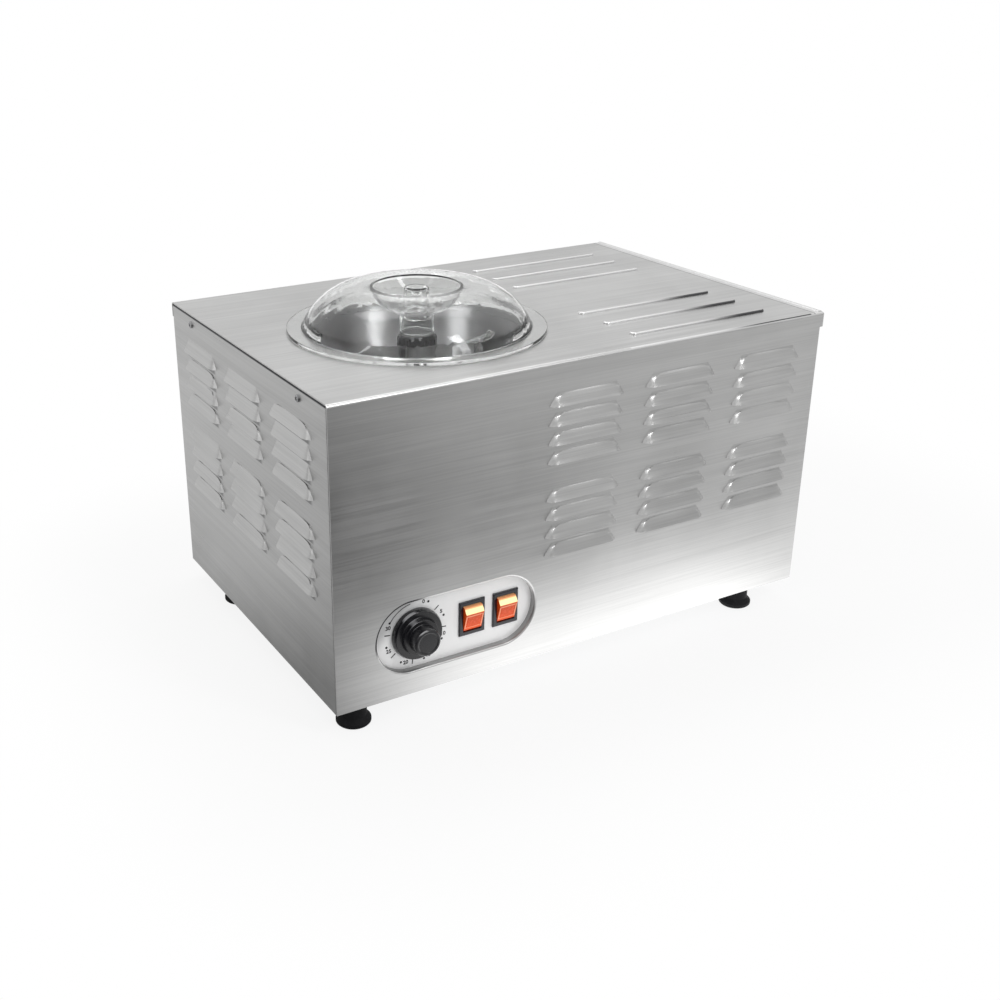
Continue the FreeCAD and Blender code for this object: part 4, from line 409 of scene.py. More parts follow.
def lit_plastic(name, deep, bright, pivot_height, first, pitch, half_width):
    """See-through switch plastic lit by a lamp behind its upper edge; the pale band on its upper face is
    partly the lamp's glow and partly a painted highlight.
    """
    finish = Finish(name, {"Metallic": 0.0, "IOR": 1.49, "Specular IOR Level": 0.2, "Coat Weight": 0.1,
                           "Coat Roughness": 0.1, "Emission Strength": 1.0})
    rise = finish.axis("Z") - pivot_height
    side = abs(finish.facing("X")).fall(0.6, 0.9)
    # Pale band on the upper face: lamp glow and a painted highlight.
    lamp = rise.ramp(6.0 * mm, 6.8 * mm) * rise.ramp(9.6 * mm, 11.4 * mm, 1.0, 0.25) * side
    glow = rise.ramp(-13.0 * mm, 5.0 * mm, 0.34, 0.06) * side
    grain = finish.noise(380, 3.0, 0.5)
    body = finish.mix(grain.ramp(0.3, 0.7), shade(deep, 0.94), shade(deep, 1.05))
    across = (finish.axis("X") - (first - pitch / 2)).math("FLOORED_MODULO", pitch)
    aside = abs(across - pitch / 2)
    rim = (aside - (half_width - 2.0 * mm)).math("MAXIMUM", abs(rise + 2.4 * mm) - 6.3 * mm)
    frame_line = abs(rim).fall(0.35 * mm, 0.7 * mm) * side
    body = finish.mix(frame_line, body, (1.0, 0.42, 0.24))
    finish.set("Base Color", finish.mix(lamp, body, bright))
    dim = finish.mix(glow + (grain - 0.5) * 0.04, (0.0, 0.0, 0.0), deep)
    finish.set("Emission Color", finish.mix(lamp, dim, shade(bright, 0.6)))
    finish.set("Roughness", grain * 0.1 + 0.22)
    return finish.bump(grain, 0.01 * mm, 0.2)


def foam(name, colour):
    """Rigid insulating foam with open bubbles."""
    finish = Finish(name, {"Metallic": 0.0})
    bubbles = finish.node("ShaderNodeTexVoronoi", None, {
        "Vector": finish.placed(330), "Scale": 1.0})
    finish.set("Base Color", finish.mix(bubbles.ramp(0.1, 0.6), shade(colour, 0.8), shade(colour, 1.05)))
    finish.set("Roughness", bubbles * 0.1 + 0.85)
    return finish.bump(bubbles, 0.5 * mm, 0.6)


# Modelling helpers.
def middle_of(node):
    """The middle of a node's box."""
    low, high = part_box(node)
    return (low + high) / 2


def only(piece):
    """Selects one piece and nothing else."""
    if bpy.context.object and bpy.context.object.mode != "OBJECT":
        bpy.ops.object.mode_set(mode="OBJECT")
    bpy.ops.object.select_all(action="DESELECT")
    bpy.context.view_layer.objects.active = piece
    piece.select_set(True)


def editing(piece, kind="FACE"):
    """Opens a piece in edit mode with nothing of it selected."""
    only(piece)
    bpy.ops.object.mode_set(mode="EDIT")
    bpy.ops.mesh.select_mode(type=kind)
    bpy.ops.mesh.select_all(action="DESELECT")


def done():
    """Leaves edit mode."""
    bpy.ops.object.mode_set(mode="OBJECT")


def pick(piece, wanted):
    """In edit mode, selects the faces whose centre and normal pass a test."""
    mesh = bmesh.from_edit_mesh(piece.data)
    for face in mesh.faces:
        face.select_set(bool(wanted(face.calc_center_median(), face.normal)))
    if not any(face.select for face in mesh.faces):
        raise RuntimeError(f"{piece.name} has no face that passes the test")
    bmesh.update_edit_mesh(piece.data)


def bake_place(piece):
    """Moves a piece's place, turn and size into its mesh."""
    only(piece)
    bpy.ops.object.transform_apply(location=True, rotation=True, scale=True)


def modified(piece, kind, settings):
    """Adds a modifier to a piece and applies it."""
    only(piece)
    modifier = piece.modifiers.new(kind.lower(), kind)
    for name, value in settings.items():
        setattr(modifier, name, value)
    bpy.ops.object.modifier_apply(modifier=modifier.name)


def smooth(piece, degrees=30.0):
    """Shades curves smooth and keeps flats flat."""
    only(piece)
    bpy.ops.object.shade_smooth_by_angle(angle=math.radians(degrees))
    modified(piece, "WEIGHTED_NORMAL", {"keep_sharp": True, "weight": 60})


def soften(piece, width, segments=2, degrees=35.0):
    """Rounds a piece's sharp edges a little."""
    modified(piece, "BEVEL", {"width": width, "segments": segments, "limit_method": "ANGLE",
                              "angle_limit": math.radians(degrees), "use_clamp_overlap": True})


def roll_hoods(piece, node, outward, width):
    """Rounds the ends of the louvre hoods, and their creases, where the sheet was pressed out."""
    sheet_face = outward * (max(corner.dot(outward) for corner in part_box(node)) - hood_proud)
    start_x = middle_of(node).x - front_louvres if node == "outer_cover" else -math.inf

    def near_hood(at):
        """Tells a place on the louvred part of the sheet's outside."""
        proud = (at - sheet_face).dot(outward) > -0.05 * mm
        return proud and hood_levels[0] < at.z < hood_levels[1] and at.x > start_x

    def pick_level(low, high):
        """Selects the vertices near the hoods that stand so far out from the sheet's face."""
        bpy.ops.mesh.select_all(action="DESELECT")
        mesh = bmesh.from_edit_mesh(piece.data)
        for vertex in mesh.verts:
            proud = (vertex.co - sheet_face).dot(outward)
            vertex.select_set(near_hood(vertex.co) and low < proud < high)
        bmesh.update_edit_mesh(piece.data)

    editing(piece, "VERT")
    pick_level(0.03 * mm, hood_step)
    bpy.ops.transform.resize(value=[1.0 - abs(way) for way in outward], center_override=sheet_face)
    pick_level(-0.01 * mm, 0.01 * mm)
    bpy.ops.mesh.remove_doubles(threshold=hood_step * 1.5)
    bpy.ops.mesh.select_all(action="DESELECT")
    bpy.ops.mesh.select_mode(type="FACE")
    pick(piece, lambda centre, normal: near_hood(centre) and 0.1 < normal.dot(outward) < 0.995)
    bpy.ops.mesh.subdivide(number_cuts=5)
    mesh = bmesh.from_edit_mesh(piece.data)
    for vertex in mesh.verts:
        vertex.select_set(all(face.select for face in vertex.link_faces))
    bpy.ops.mesh.select_mode(type="VERT")
    bmesh.update_edit_mesh(piece.data)
    bpy.ops.mesh.vertices_smooth(factor=0.5, repeat=8)
    bpy.ops.mesh.select_mode(type="EDGE")
    bpy.ops.mesh.select_all(action="DESELECT")
    mesh = bmesh.from_edit_mesh(piece.data)
    for edge in mesh.edges:
        middle = (edge.verts[0].co + edge.verts[1].co) / 2
        if edge.is_manifold and near_hood(middle):
            facing = [abs(face.normal.dot(outward)) for face in edge.link_faces]
            edge.select_set(min(facing) < 0.997 < max(facing) and edge.calc_face_angle() < math.radians(65))
    bmesh.update_edit_mesh(piece.data)
    bpy.ops.mesh.bevel(offset=width, segments=3, affect="EDGES", clamp_overlap=True)
    done()


def dress(piece, material, body, slot, *nodes):
    """Gives a piece its material and its body, and hides the nodes that it stands for. The slot is not used.
    """
    piece.data.materials.clear()
    piece.data.materials.append(material)
    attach(piece, body)
    if nodes:
        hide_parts(*nodes)
    return piece


def stand_in(piece, material, node):
    """Gives a piece its material and lets it stand for a node."""
    return dress(piece, material, node_body[node], node_slot[node], node)


def joined_copy(node, name):
    """A copy of a node's mesh with its loose triangles joined and its flats merged."""
    piece = bpy.data.objects.new(name, frame["nodes"][node].data.copy())
    piece.data.name = name
    bpy.context.scene.collection.objects.link(piece)
    editing(piece)
    bpy.ops.mesh.select_all(action="SELECT")
    bpy.ops.mesh.customdata_custom_splitnormals_clear()
    bpy.ops.mesh.remove_doubles(threshold=0.004 * mm)
    bpy.ops.mesh.dissolve_limited(angle_limit=math.radians(0.4))
    done()
    return piece


def mirrored_copy(piece, name, middle):
    """The mirror image of a piece, left for right, across an upright plane through the middle."""
    twin = bpy.data.objects.new(name, piece.data.copy())
    twin.data.name = name
    bpy.context.scene.collection.objects.link(twin)
    editing(twin)
    bpy.ops.mesh.select_all(action="SELECT")
    bpy.ops.transform.resize(value=(-1, 1, 1), center_override=(middle, 0, 0))
    bpy.ops.mesh.normals_make_consistent(inside=False)
    done()
    return twin


def finished(node, material, edge=0.0, segments=2, degrees=30.0):
    """A node's surface with softened edges and smooth curves, in its finish."""
    piece = joined_copy(node, f"{node}_surface")
    if edge:
        soften(piece, edge, segments)
    smooth(piece, degrees)
    return stand_in(piece, material, node)


def paint(node, material):
    """Gives a node its material."""
    mesh = frame["nodes"][node].data
    mesh.materials.clear()
    mesh.materials.append(material)


def print_flat(piece, name, at, size, depth):
    """Makes a text or a flat curve a thin print, centred on a point, that faces the front."""
    only(piece)
    bpy.ops.object.convert(target="MESH")
    piece.name = name
    piece.data.name = name
    piece.matrix_world = Matrix.Translation(at) @ Matrix.Rotation(math.pi / 2, 4, "X") @ Matrix.Scale(size, 4)
    bake_place(piece)
    modified(piece, "SOLIDIFY", {"thickness": depth, "offset": 1.0})
    return piece


# What a user may change.
class CasingLooks(bpy.types.PropertyGroup):
    """Finish of the casing."""

    steel: FloatVectorProperty(name="Steel", description="Colour of the casing's sheet", subtype="COLOR",
                               default=(0.66, 0.66, 0.655), min=0.0, max=1.0)
    roughness: FloatProperty(name="Roughness", description="How dull the brushed sheet is", default=0.34,
                             min=0.05, max=0.8, subtype="FACTOR")
    crease: FloatProperty(name="Crease", description="Rounded creases of the louvre hoods", default=1.2 * mm,
                          min=0.1 * mm, max=2.0 * mm, unit="LENGTH", precision=5)
    edge: FloatProperty(name="Edge", description="Softened edges of the pressed sheet", default=0.3 * mm,
                        min=0.0, max=1.0 * mm, unit="LENGTH", precision=5)


class ControlLooks(bpy.types.PropertyGroup):
    """Controls and their printed scale."""

    amber: FloatVectorProperty(name="Amber", description="Plastic of the rockers", subtype="COLOR",
                               default=(0.72, 0.075, 0.006), min=0.0, max=1.0)
    # The lamp colour is also the painted highlight on the rockers' upper face.
    lamp: FloatVectorProperty(name="Lamp", description="Upper edge of the rockers, next to their lamp",
                              subtype="COLOR", default=(1.0, 0.8, 0.4), min=0.0, max=1.0)
    ink: FloatVectorProperty(name="Ink", description="Printed scale of the timer", subtype="COLOR",
                             default=(0.004, 0.004, 0.006), min=0.0, max=1.0)
    scale_radius: FloatProperty(name="Scale radius", description="Dots of the scale from the knob's axis",
                                default=29.2 * mm, min=26 * mm, max=31 * mm, unit="LENGTH", precision=5)
    scale_start: FloatProperty(name="Scale start", description="First mark, clockwise from the top",
                               default=math.radians(25.6), subtype="ANGLE")
    scale_sweep: FloatProperty(name="Scale sweep", description="First to last mark of the scale",
                               default=math.radians(276), subtype="ANGLE")
    scale_gap: FloatProperty(name="Scale gap", description="End of the scale's line to its first mark",
                             default=math.radians(36), subtype="ANGLE")
    dot: FloatProperty(name="Dot", description="Radius of the scale's dots", default=1.1 * mm, min=0.2 * mm,
                       unit="LENGTH", precision=5)
    number_size: FloatProperty(name="Number size", description="Height of the scale's numbers",
                               default=5.0 * mm, min=1.0 * mm, unit="LENGTH", precision=5)


class StudioSettings(bpy.types.PropertyGroup):
    """Camera, lamps and backdrop."""

    azimuth: FloatProperty(name="Azimuth", description="Camera round the machine, from front to right",
                           default=math.radians(-28.783), subtype="ANGLE")
    elevation: FloatProperty(name="Elevation", description="Camera above the horizon",
                             default=math.radians(22.998), subtype="ANGLE")
    roll: FloatProperty(name="Roll", description="Tilt of the picture", default=math.radians(-0.481),
                        subtype="ANGLE")
    distance: FloatProperty(name="Distance", description="Camera from its target", default=1.247,
                            unit="LENGTH")
    target: FloatVectorProperty(name="Target", description="Point that the camera looks at",
                                subtype="TRANSLATION", default=(-0.09328, 0.0, 0.13934), precision=5)
    lens: FloatProperty(name="Lens", description="Focal length in millimetres", default=46.51, min=10.0)
    shift: FloatVectorProperty(name="Shift", description="Shift of the lens, as shares of the picture",
                               default=(0.095, -0.02), size=2, precision=3)
    floor: FloatVectorProperty(name="Floor", description="Pale floor", subtype="COLOR",
                               default=(0.86, 0.86, 0.86))
    world: FloatProperty(name="World", description="Strength of the even light", default=0.7, min=0.0)
    horizon: FloatProperty(name="Horizon", description="Mirrored brightness of the room at the horizon",
                           default=0.34, min=0.0)
    ceiling: FloatProperty(name="Ceiling", description="Mirrored brightness of the room overhead",
                           default=0.78, min=0.0)


# Operators, one for each group of like pieces.
class DressCasing(bpy.types.Operator):
    """Finishes the folded cover, the side and rear panels in brushed steel"""

    bl_idname = "ice_cream.dress_casing"
    bl_label = "Casing"

    def execute(self, context):
        looks = context.scene.casing_looks
        low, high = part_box("outer_cover")
        sheet_y = low.y + hood_proud
        left_x = low.x + recess_side - recess_length / 2 + recess_radius
        left_end = Vector((left_x, low.y, middle_of("timer_knob").z))
        right_end = left_end + Vector((recess_length - 2 * recess_radius, 0, 0))
        cover = brushed_steel("brushed_steel_cover", looks.steel, "X", looks.roughness, 0.1,
                              (satin_recess, (left_end, right_end, sheet_y)),
                              (pressed_top, (high.x, high.z, high.x - rib_side)))
        side = brushed_steel("brushed_steel_side", looks.steel, "Y", looks.roughness + 0.02, 0.2,
                             (dark_seams, (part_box("left_panel")[1].z, sheet_y)))
        for node, outward, material in (
            ("outer_cover", Vector((0, -1, 0)), cover),
            ("rear_panel", Vector((0, 1, 0)), cover),
            ("left_panel", Vector((-1, 0, 0)), side),
        ):
            piece = joined_copy(node, f"{node}_surface")
            roll_hoods(piece, node, outward, looks.crease)
            soften(piece, looks.edge, 2, 66)
            smooth(piece, 45)
            stand_in(piece, material, node)
        middle = (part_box("left_panel")[0].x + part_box("right_panel")[1].x) / 2
        right_panel = mirrored_copy(piece, "right_panel_surface", middle)
        smooth(right_panel, 45)
        stand_in(right_panel, side, "right_panel")
        return {"FINISHED"}


class DressFixings(bpy.types.Operator):
    """Makes the domed cross-head screws of the panels and finishes the screws of the feet"""

    bl_idname = "ice_cream.dress_fixings"
    bl_label = "Screws"

    def screw(self, name, head, reach):
        """A screw with its head towards -Y and the seat of the head at the origin."""
        radius, dome = head
        shank = radius * 0.62
        bpy.ops.mesh.primitive_cylinder_add(vertices=40, radius=radius, depth=dome,
                                            location=(0, -dome / 2, 0), rotation=(math.pi / 2, 0, 0))
        piece = bpy.context.object
        piece.name = name
        bake_place(piece)
        editing(piece)
        pick(piece, lambda centre, normal: normal.y < -0.9)
        for step, drop in ((0.12, 0.0), (0.2, 0.35), (0.25, 0.3)):
            bpy.ops.mesh.inset(thickness=radius * step, depth=0.0)
            bpy.ops.transform.translate(value=(0, -dome * drop * 0.4, 0))
        bpy.ops.mesh.select_all(action="DESELECT")
        pick(piece, lambda centre, normal: normal.y > 0.9)
        bpy.ops.mesh.inset(thickness=radius - shank, depth=0.0)
        bpy.ops.mesh.extrude_region_move(TRANSFORM_OT_translate={"value": (0, reach, 0)})
        done()
        cutters = []
        for turn in (0.0, math.pi / 2):
            bpy.ops.mesh.primitive_cube_add(size=1.0, location=(0, -dome * 1.1, 0), rotation=(0, turn, 0),
                                            scale=(radius * 1.15, dome * 1.1, radius * 0.3))
            cutters.append(bpy.context.object)
        for cutter in cutters:
            modified(piece, "BOOLEAN", {"object": cutter, "operation": "DIFFERENCE", "solver": "EXACT"})
            bpy.data.objects.remove(cutter)
        soften(piece, 0.12 * mm, 2, 40)
        smooth(piece, 40)
        return piece

    def execute(self, context):
        steel = bright_metal("screw_steel", (0.5, 0.5, 0.51), 0.22)
        made = 0
        for group, outward in (("left_panel_screws", (-1, 0)), ("right_panel_screws", (1, 0)),
                               ("rear_panel_screws", (0, 1))):
            low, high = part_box(group)
            radius = (high.z - low.z) / 2
            level = (high.z + low.z) / 2
            side = 0 if outward[0] else 1
            length = high[side] - low[side]
            dome = radius / 2
            spread = 1 - side
            count = 3 if group.startswith("rear") else 2
            first, last = low[spread] + radius, high[spread] - radius
            seat = (high[side] - dome) if outward[side] > 0 else (low[side] + dome)
            turn = math.atan2(outward[0], -outward[1])
            model = self.screw(f"{group}_1", (radius, dome), length - dome)
            for number in range(count):
                piece = model
                if number:
                    only(model)
                    bpy.ops.object.duplicate()
                    piece = bpy.context.object
                    piece.name = f"{group}_{number + 1}"
                made += 1
                along = first + (last - first) * number / (count - 1)
                at = Vector((seat, along, level)) if side == 0 else Vector((along, seat, level))
                own = Matrix.Rotation(math.radians(37 * made), 4, "Y")
                piece.matrix_world = Matrix.Translation(at) @ Matrix.Rotation(turn, 4, "Z") @ own
                if number:
                    bake_place(piece)
                dress(piece, steel, "casing", "screw_steel", *([group] if number == 0 else []))
            bake_place(model)
        paint("foot_screws", steel)
        return {"FINISHED"}


class DressFeet(bpy.types.Operator):
    """Finishes the rubber feet and the base pan"""

    bl_idname = "ice_cream.dress_feet"
    bl_label = "Feet and base"

    def execute(self, context):
        black = rubber("foot_rubber", (0.006, 0.006, 0.007))
        for end in ("left", "right"):
            for side in ("front", "rear"):
                finished(f"foot_{side}_{end}", black, 0.5 * mm, 3)
        pan = cast_metal("galvanised_sheet", (0.6, 0.61, 0.63))
        for node in ("base_pan", "drive_bracket", "compressor_plate", "fan_bracket"):
            paint(node, pan)
        return {"FINISHED"}


class DressTimer(bpy.types.Operator):
    """Finishes the timer's stepped knob and prints its scale on the recess"""

    bl_idname = "ice_cream.dress_timer"
    bl_label = "Timer"

    def execute(self, context):
        looks = context.scene.control_looks
        # The knob's painted highlights go on the faces turned up, left and to the front.
        black = moulded_plastic("knob_plastic", (0.006, 0.006, 0.008), 0.26, 0.01, 0.4, (-0.35, -0.5, 0.79))
        knob = joined_copy("timer_knob", "timer_knob_surface")
        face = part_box("timer_knob")[0].y
        editing(knob)
        pick(knob, lambda centre, normal: normal.y < -0.9 and centre.y < face + 0.1 * mm)
        bpy.ops.mesh.inset(thickness=1.6 * mm, depth=0.0)
        bpy.ops.mesh.inset(thickness=0.4 * mm, depth=-0.5 * mm)
        done()
        soften(knob, 0.8 * mm, 3)
        smooth(knob, 40)
        stand_in(knob, black, "timer_knob")
        paint("timer", moulded_plastic("timer_case", (0.08, 0.08, 0.085)))
        paint("timer_shaft", bright_metal("timer_shaft_steel", (0.6, 0.6, 0.6)))
        self.print_scale(looks)
        return {"FINISHED"}

    def print_scale(self, looks):
        """Dots at the five-minute marks, ticks between them and plain numbers beside the dots."""
        ink = moulded_plastic("scale_ink", looks.ink, 0.6, 0.005)
        axis = middle_of("timer_knob")
        dial = Vector((axis.x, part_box("switch_1")[0].y + bezel_thick, axis.z))
        steps = 12
        first, last = looks.scale_start, looks.scale_start + looks.scale_sweep
        self.arc(dial, last, first + 2 * math.pi - looks.scale_gap, looks.scale_radius, ink)
        for step in range(steps + 1):
            angle = first + looks.scale_sweep * step / steps
            outward = Vector((math.sin(angle), 0, math.cos(angle)))
            if step % 2:
                self.tick(f"scale_tick_{step // 2 + 1}", dial, outward, looks, ink)
                continue
            bpy.ops.mesh.primitive_circle_add(vertices=20, radius=looks.dot, fill_type="NGON")
            dot = bpy.context.object
            self.print_on(dot, f"scale_dot_{step // 2 + 1}", dial + outward * looks.scale_radius, 1.0, ink)
            self.number(step // 2 * 5, angle, dial, looks, ink)

    def print_on(self, piece, name, at, size, ink):
        """Makes a text or a flat curve a thin print of the scale."""
        dress(print_flat(piece, name, at, size, print_thick), ink, "casing", "knob_plastic")

    def arc(self, dial, first, last, radius, ink):
        """A thin line along the circle of the scale, from its last mark towards its first."""
        bpy.ops.mesh.primitive_circle_add(vertices=180, radius=radius, fill_type="NOTHING")
        piece = bpy.context.object
        editing(piece, "EDGE")
        bpy.ops.mesh.select_all(action="SELECT")
        bpy.ops.mesh.extrude_edges_move()
        shrink = 1 - 0.7 * mm / radius
        bpy.ops.transform.resize(value=(shrink, shrink, 1))
        bpy.ops.mesh.select_mode(type="FACE")
        bpy.ops.mesh.select_all(action="DESELECT")
        turn = 2 * math.pi
        pick(piece, lambda centre, normal: not first < math.atan2(centre.x, centre.y) % turn < last)
        bpy.ops.mesh.delete(type="FACE")
        bpy.ops.mesh.select_all(action="SELECT")
        bpy.ops.mesh.normals_make_consistent(inside=False)
        done()
        self.print_on(piece, "scale_arc", dial, 1.0, ink)

    def tick(self, name, dial, outward, looks, ink):
        """A short radial line between two dots."""
        bpy.ops.mesh.primitive_plane_add(size=1.0)
        piece = bpy.context.object
        along = Vector((outward.z, 0, -outward.x))
        at = dial + outward * (looks.scale_radius - 1.6 * mm)
        sides = (along * 0.95 * mm, outward * 5.4 * mm, Vector((0, -1, 0)))
        piece.matrix_world = Matrix.Translation(at) @ Matrix(sides).transposed().to_4x4()
        bake_place(piece)
        piece.name = name
        piece.data.name = name
        modified(piece, "SOLIDIFY", {"thickness": print_thick, "offset": 1.0})
        dress(piece, ink, "casing", "knob_plastic")

    def number(self, minutes, angle, dial, looks, ink):
        """A plain number beside a dot, towards the tick before it."""
        bpy.ops.object.text_add()
        text = bpy.context.object
        text.data.body = str(minutes)
        text.data.align_x = "CENTER"
        text.data.align_y = "CENTER"
        text.data.resolution_u = 3
        text.data.offset = 0.03
        beside = angle - math.radians(9.5)
        outward = Vector((math.sin(beside), 0, math.cos(beside)))
        at = dial + outward * (looks.scale_radius - 0.6 * mm)
        self.print_on(text, f"scale_number_{minutes}", at, looks.number_size, ink)


class DressSwitches(bpy.types.Operator):
    """Finishes the switch bezels and the lit rockers"""

    bl_idname = "ice_cream.dress_switches"
    bl_label = "Switches"

    def execute(self, context):
        looks = context.scene.control_looks
        black = moulded_plastic("switch_plastic", (0.008, 0.008, 0.014), 0.24, 0.01, 0.4)
        level = middle_of("switch_1").z
        first = middle_of("rocker_1").x
        pitch = middle_of("rocker_2").x - first
        half_width = (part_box("rocker_1")[1].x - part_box("rocker_1")[0].x) / 2
        amber = lit_plastic("lit_amber_plastic", looks.amber, looks.lamp, level, first, pitch, half_width)
        for number in (1, 2):
            finished(f"switch_{number}", black, 0.25 * mm, 2)
            node = f"rocker_{number}"
            rocker = joined_copy(node, f"{node}_surface")
            editing(rocker)
            pick(rocker, lambda centre, normal: normal.y < -0.8 and centre.z < level)
            bpy.ops.mesh.inset(thickness=1.5 * mm, depth=0.0)
            bpy.ops.mesh.inset(thickness=0.35 * mm, depth=-0.35 * mm)
            bpy.ops.mesh.inset(thickness=0.6 * mm, depth=0.0)
            bpy.ops.mesh.inset(thickness=0.35 * mm, depth=0.3 * mm)
            done()
            soften(rocker, 0.3 * mm, 2)
            smooth(rocker, 35)
            stand_in(rocker, amber, node)
        paint("switch_terminals", bright_metal("terminal_brass", (0.72, 0.53, 0.24)))
        return {"FINISHED"}


class DressLid(bpy.types.Operator):
    """Finishes the clear lid and its feed cap"""

    bl_idname = "ice_cream.dress_lid"
    bl_label = "Lid"

    def execute(self, context):
        clear = clear_plastic("clear_plastic", (0.99, 0.995, 0.992))
        finished("lid", clear, 0.4 * mm, 3, 40)
        finished("feed_cap", clear, 0.35 * mm, 3, 40)
        return {"FINISHED"}


class DressBowl(bpy.types.Operator):
    """Finishes the spun bowl, the dasher, its scrapers and its nut"""

    bl_idname = "ice_cream.dress_bowl"
    bl_label = "Bowl and dasher"

    def execute(self, context):
        axis = middle_of("bowl")
        finished("bowl", spun_steel("spun_bowl_steel", (0.5, 0.5, 0.505), axis, 0.41))
        finished("dasher", spun_steel("dasher_steel", (0.6, 0.6, 0.6), axis, 0.2), 0.4 * mm)
        finished("scrapers", moulded_plastic("scraper_plastic", (0.82, 0.82, 0.8), 0.45), 0.5 * mm)
        finished("dasher_nut", moulded_plastic("nut_plastic", (0.004, 0.004, 0.006), 0.3), 0.3 * mm)
        paint("bowl_seal", rubber("seal_silicone", (0.55, 0.55, 0.54)))
        paint("evaporator", cast_metal("evaporator_sheet", (0.66, 0.67, 0.68)))
        paint("insulation", foam("insulating_foam", (0.78, 0.66, 0.36)))
        return {"FINISHED"}


class DressDrive(bpy.types.Operator):
    """Finishes the gear motor, the shaft, its bearings and its seal"""

    bl_idname = "ice_cream.dress_drive"
    bl_label = "Drive"

    def execute(self, context):
        polished = bright_metal("ground_steel", (0.62, 0.62, 0.62))
        for node in ("drive_shaft", "drive_pin", "shaft_bearings"):
            paint(node, polished)
        paint("gearbox", cast_metal("cast_gearbox", (0.5, 0.51, 0.52)))
        paint("drive_motor", coated_metal("motor_enamel", (0.03, 0.035, 0.04)))
        paint("shaft_seal", rubber("seal_rubber", (0.015, 0.015, 0.015)))
        return {"FINISHED"}


class DressRefrigeration(bpy.types.Operator):
    """Finishes the compressor, the condenser, the fan and the pipes"""

    bl_idname = "ice_cream.dress_refrigeration"
    bl_label = "Refrigeration"

    def execute(self, context):
        enamel = coated_metal("compressor_enamel", (0.012, 0.012, 0.013), 0.32)
        copper = bright_metal("copper_tube", (0.72, 0.33, 0.18), 0.24)
        for node in ("compressor", "fan_motor", "fan_shroud"):
            paint(node, enamel)
        for node in ("discharge_pipe", "suction_pipe", "liquid_pipe", "evaporator_feed_pipe", "filter_drier"):
            paint(node, copper)
        paint("compressor_mounts", rubber("mount_rubber", (0.02, 0.02, 0.02)))
        paint("terminal_cover", moulded_plastic("terminal_cover_plastic", (0.03, 0.03, 0.03)))
        paint("condenser", brushed_steel("condenser_aluminium", (0.6, 0.61, 0.62), "Z", 0.4, 0.1))
        paint("fan_blade", brushed_steel("fan_aluminium", (0.68, 0.68, 0.69), "X", 0.34, 0.1))
        return {"FINISHED"}


class DressElectrics(bpy.types.Operator):
    """Finishes the connection box, the capacitor and the cord gland"""

    bl_idname = "ice_cream.dress_electrics"
    bl_label = "Electrics"

    def execute(self, context):
        grey = moulded_plastic("box_plastic", (0.42, 0.42, 0.43), 0.5)
        for node in ("electrical_box", "electrical_box_cover"):
            paint(node, grey)
        paint("motor_capacitor", moulded_plastic("capacitor_plastic", (0.7, 0.7, 0.66), 0.35))
        nylon = moulded_plastic("gland_nylon", (0.018, 0.018, 0.018), 0.45)
        finished("cord_gland", nylon, 0.3 * mm)
        paint("gland_nut", nylon)
        return {"FINISHED"}


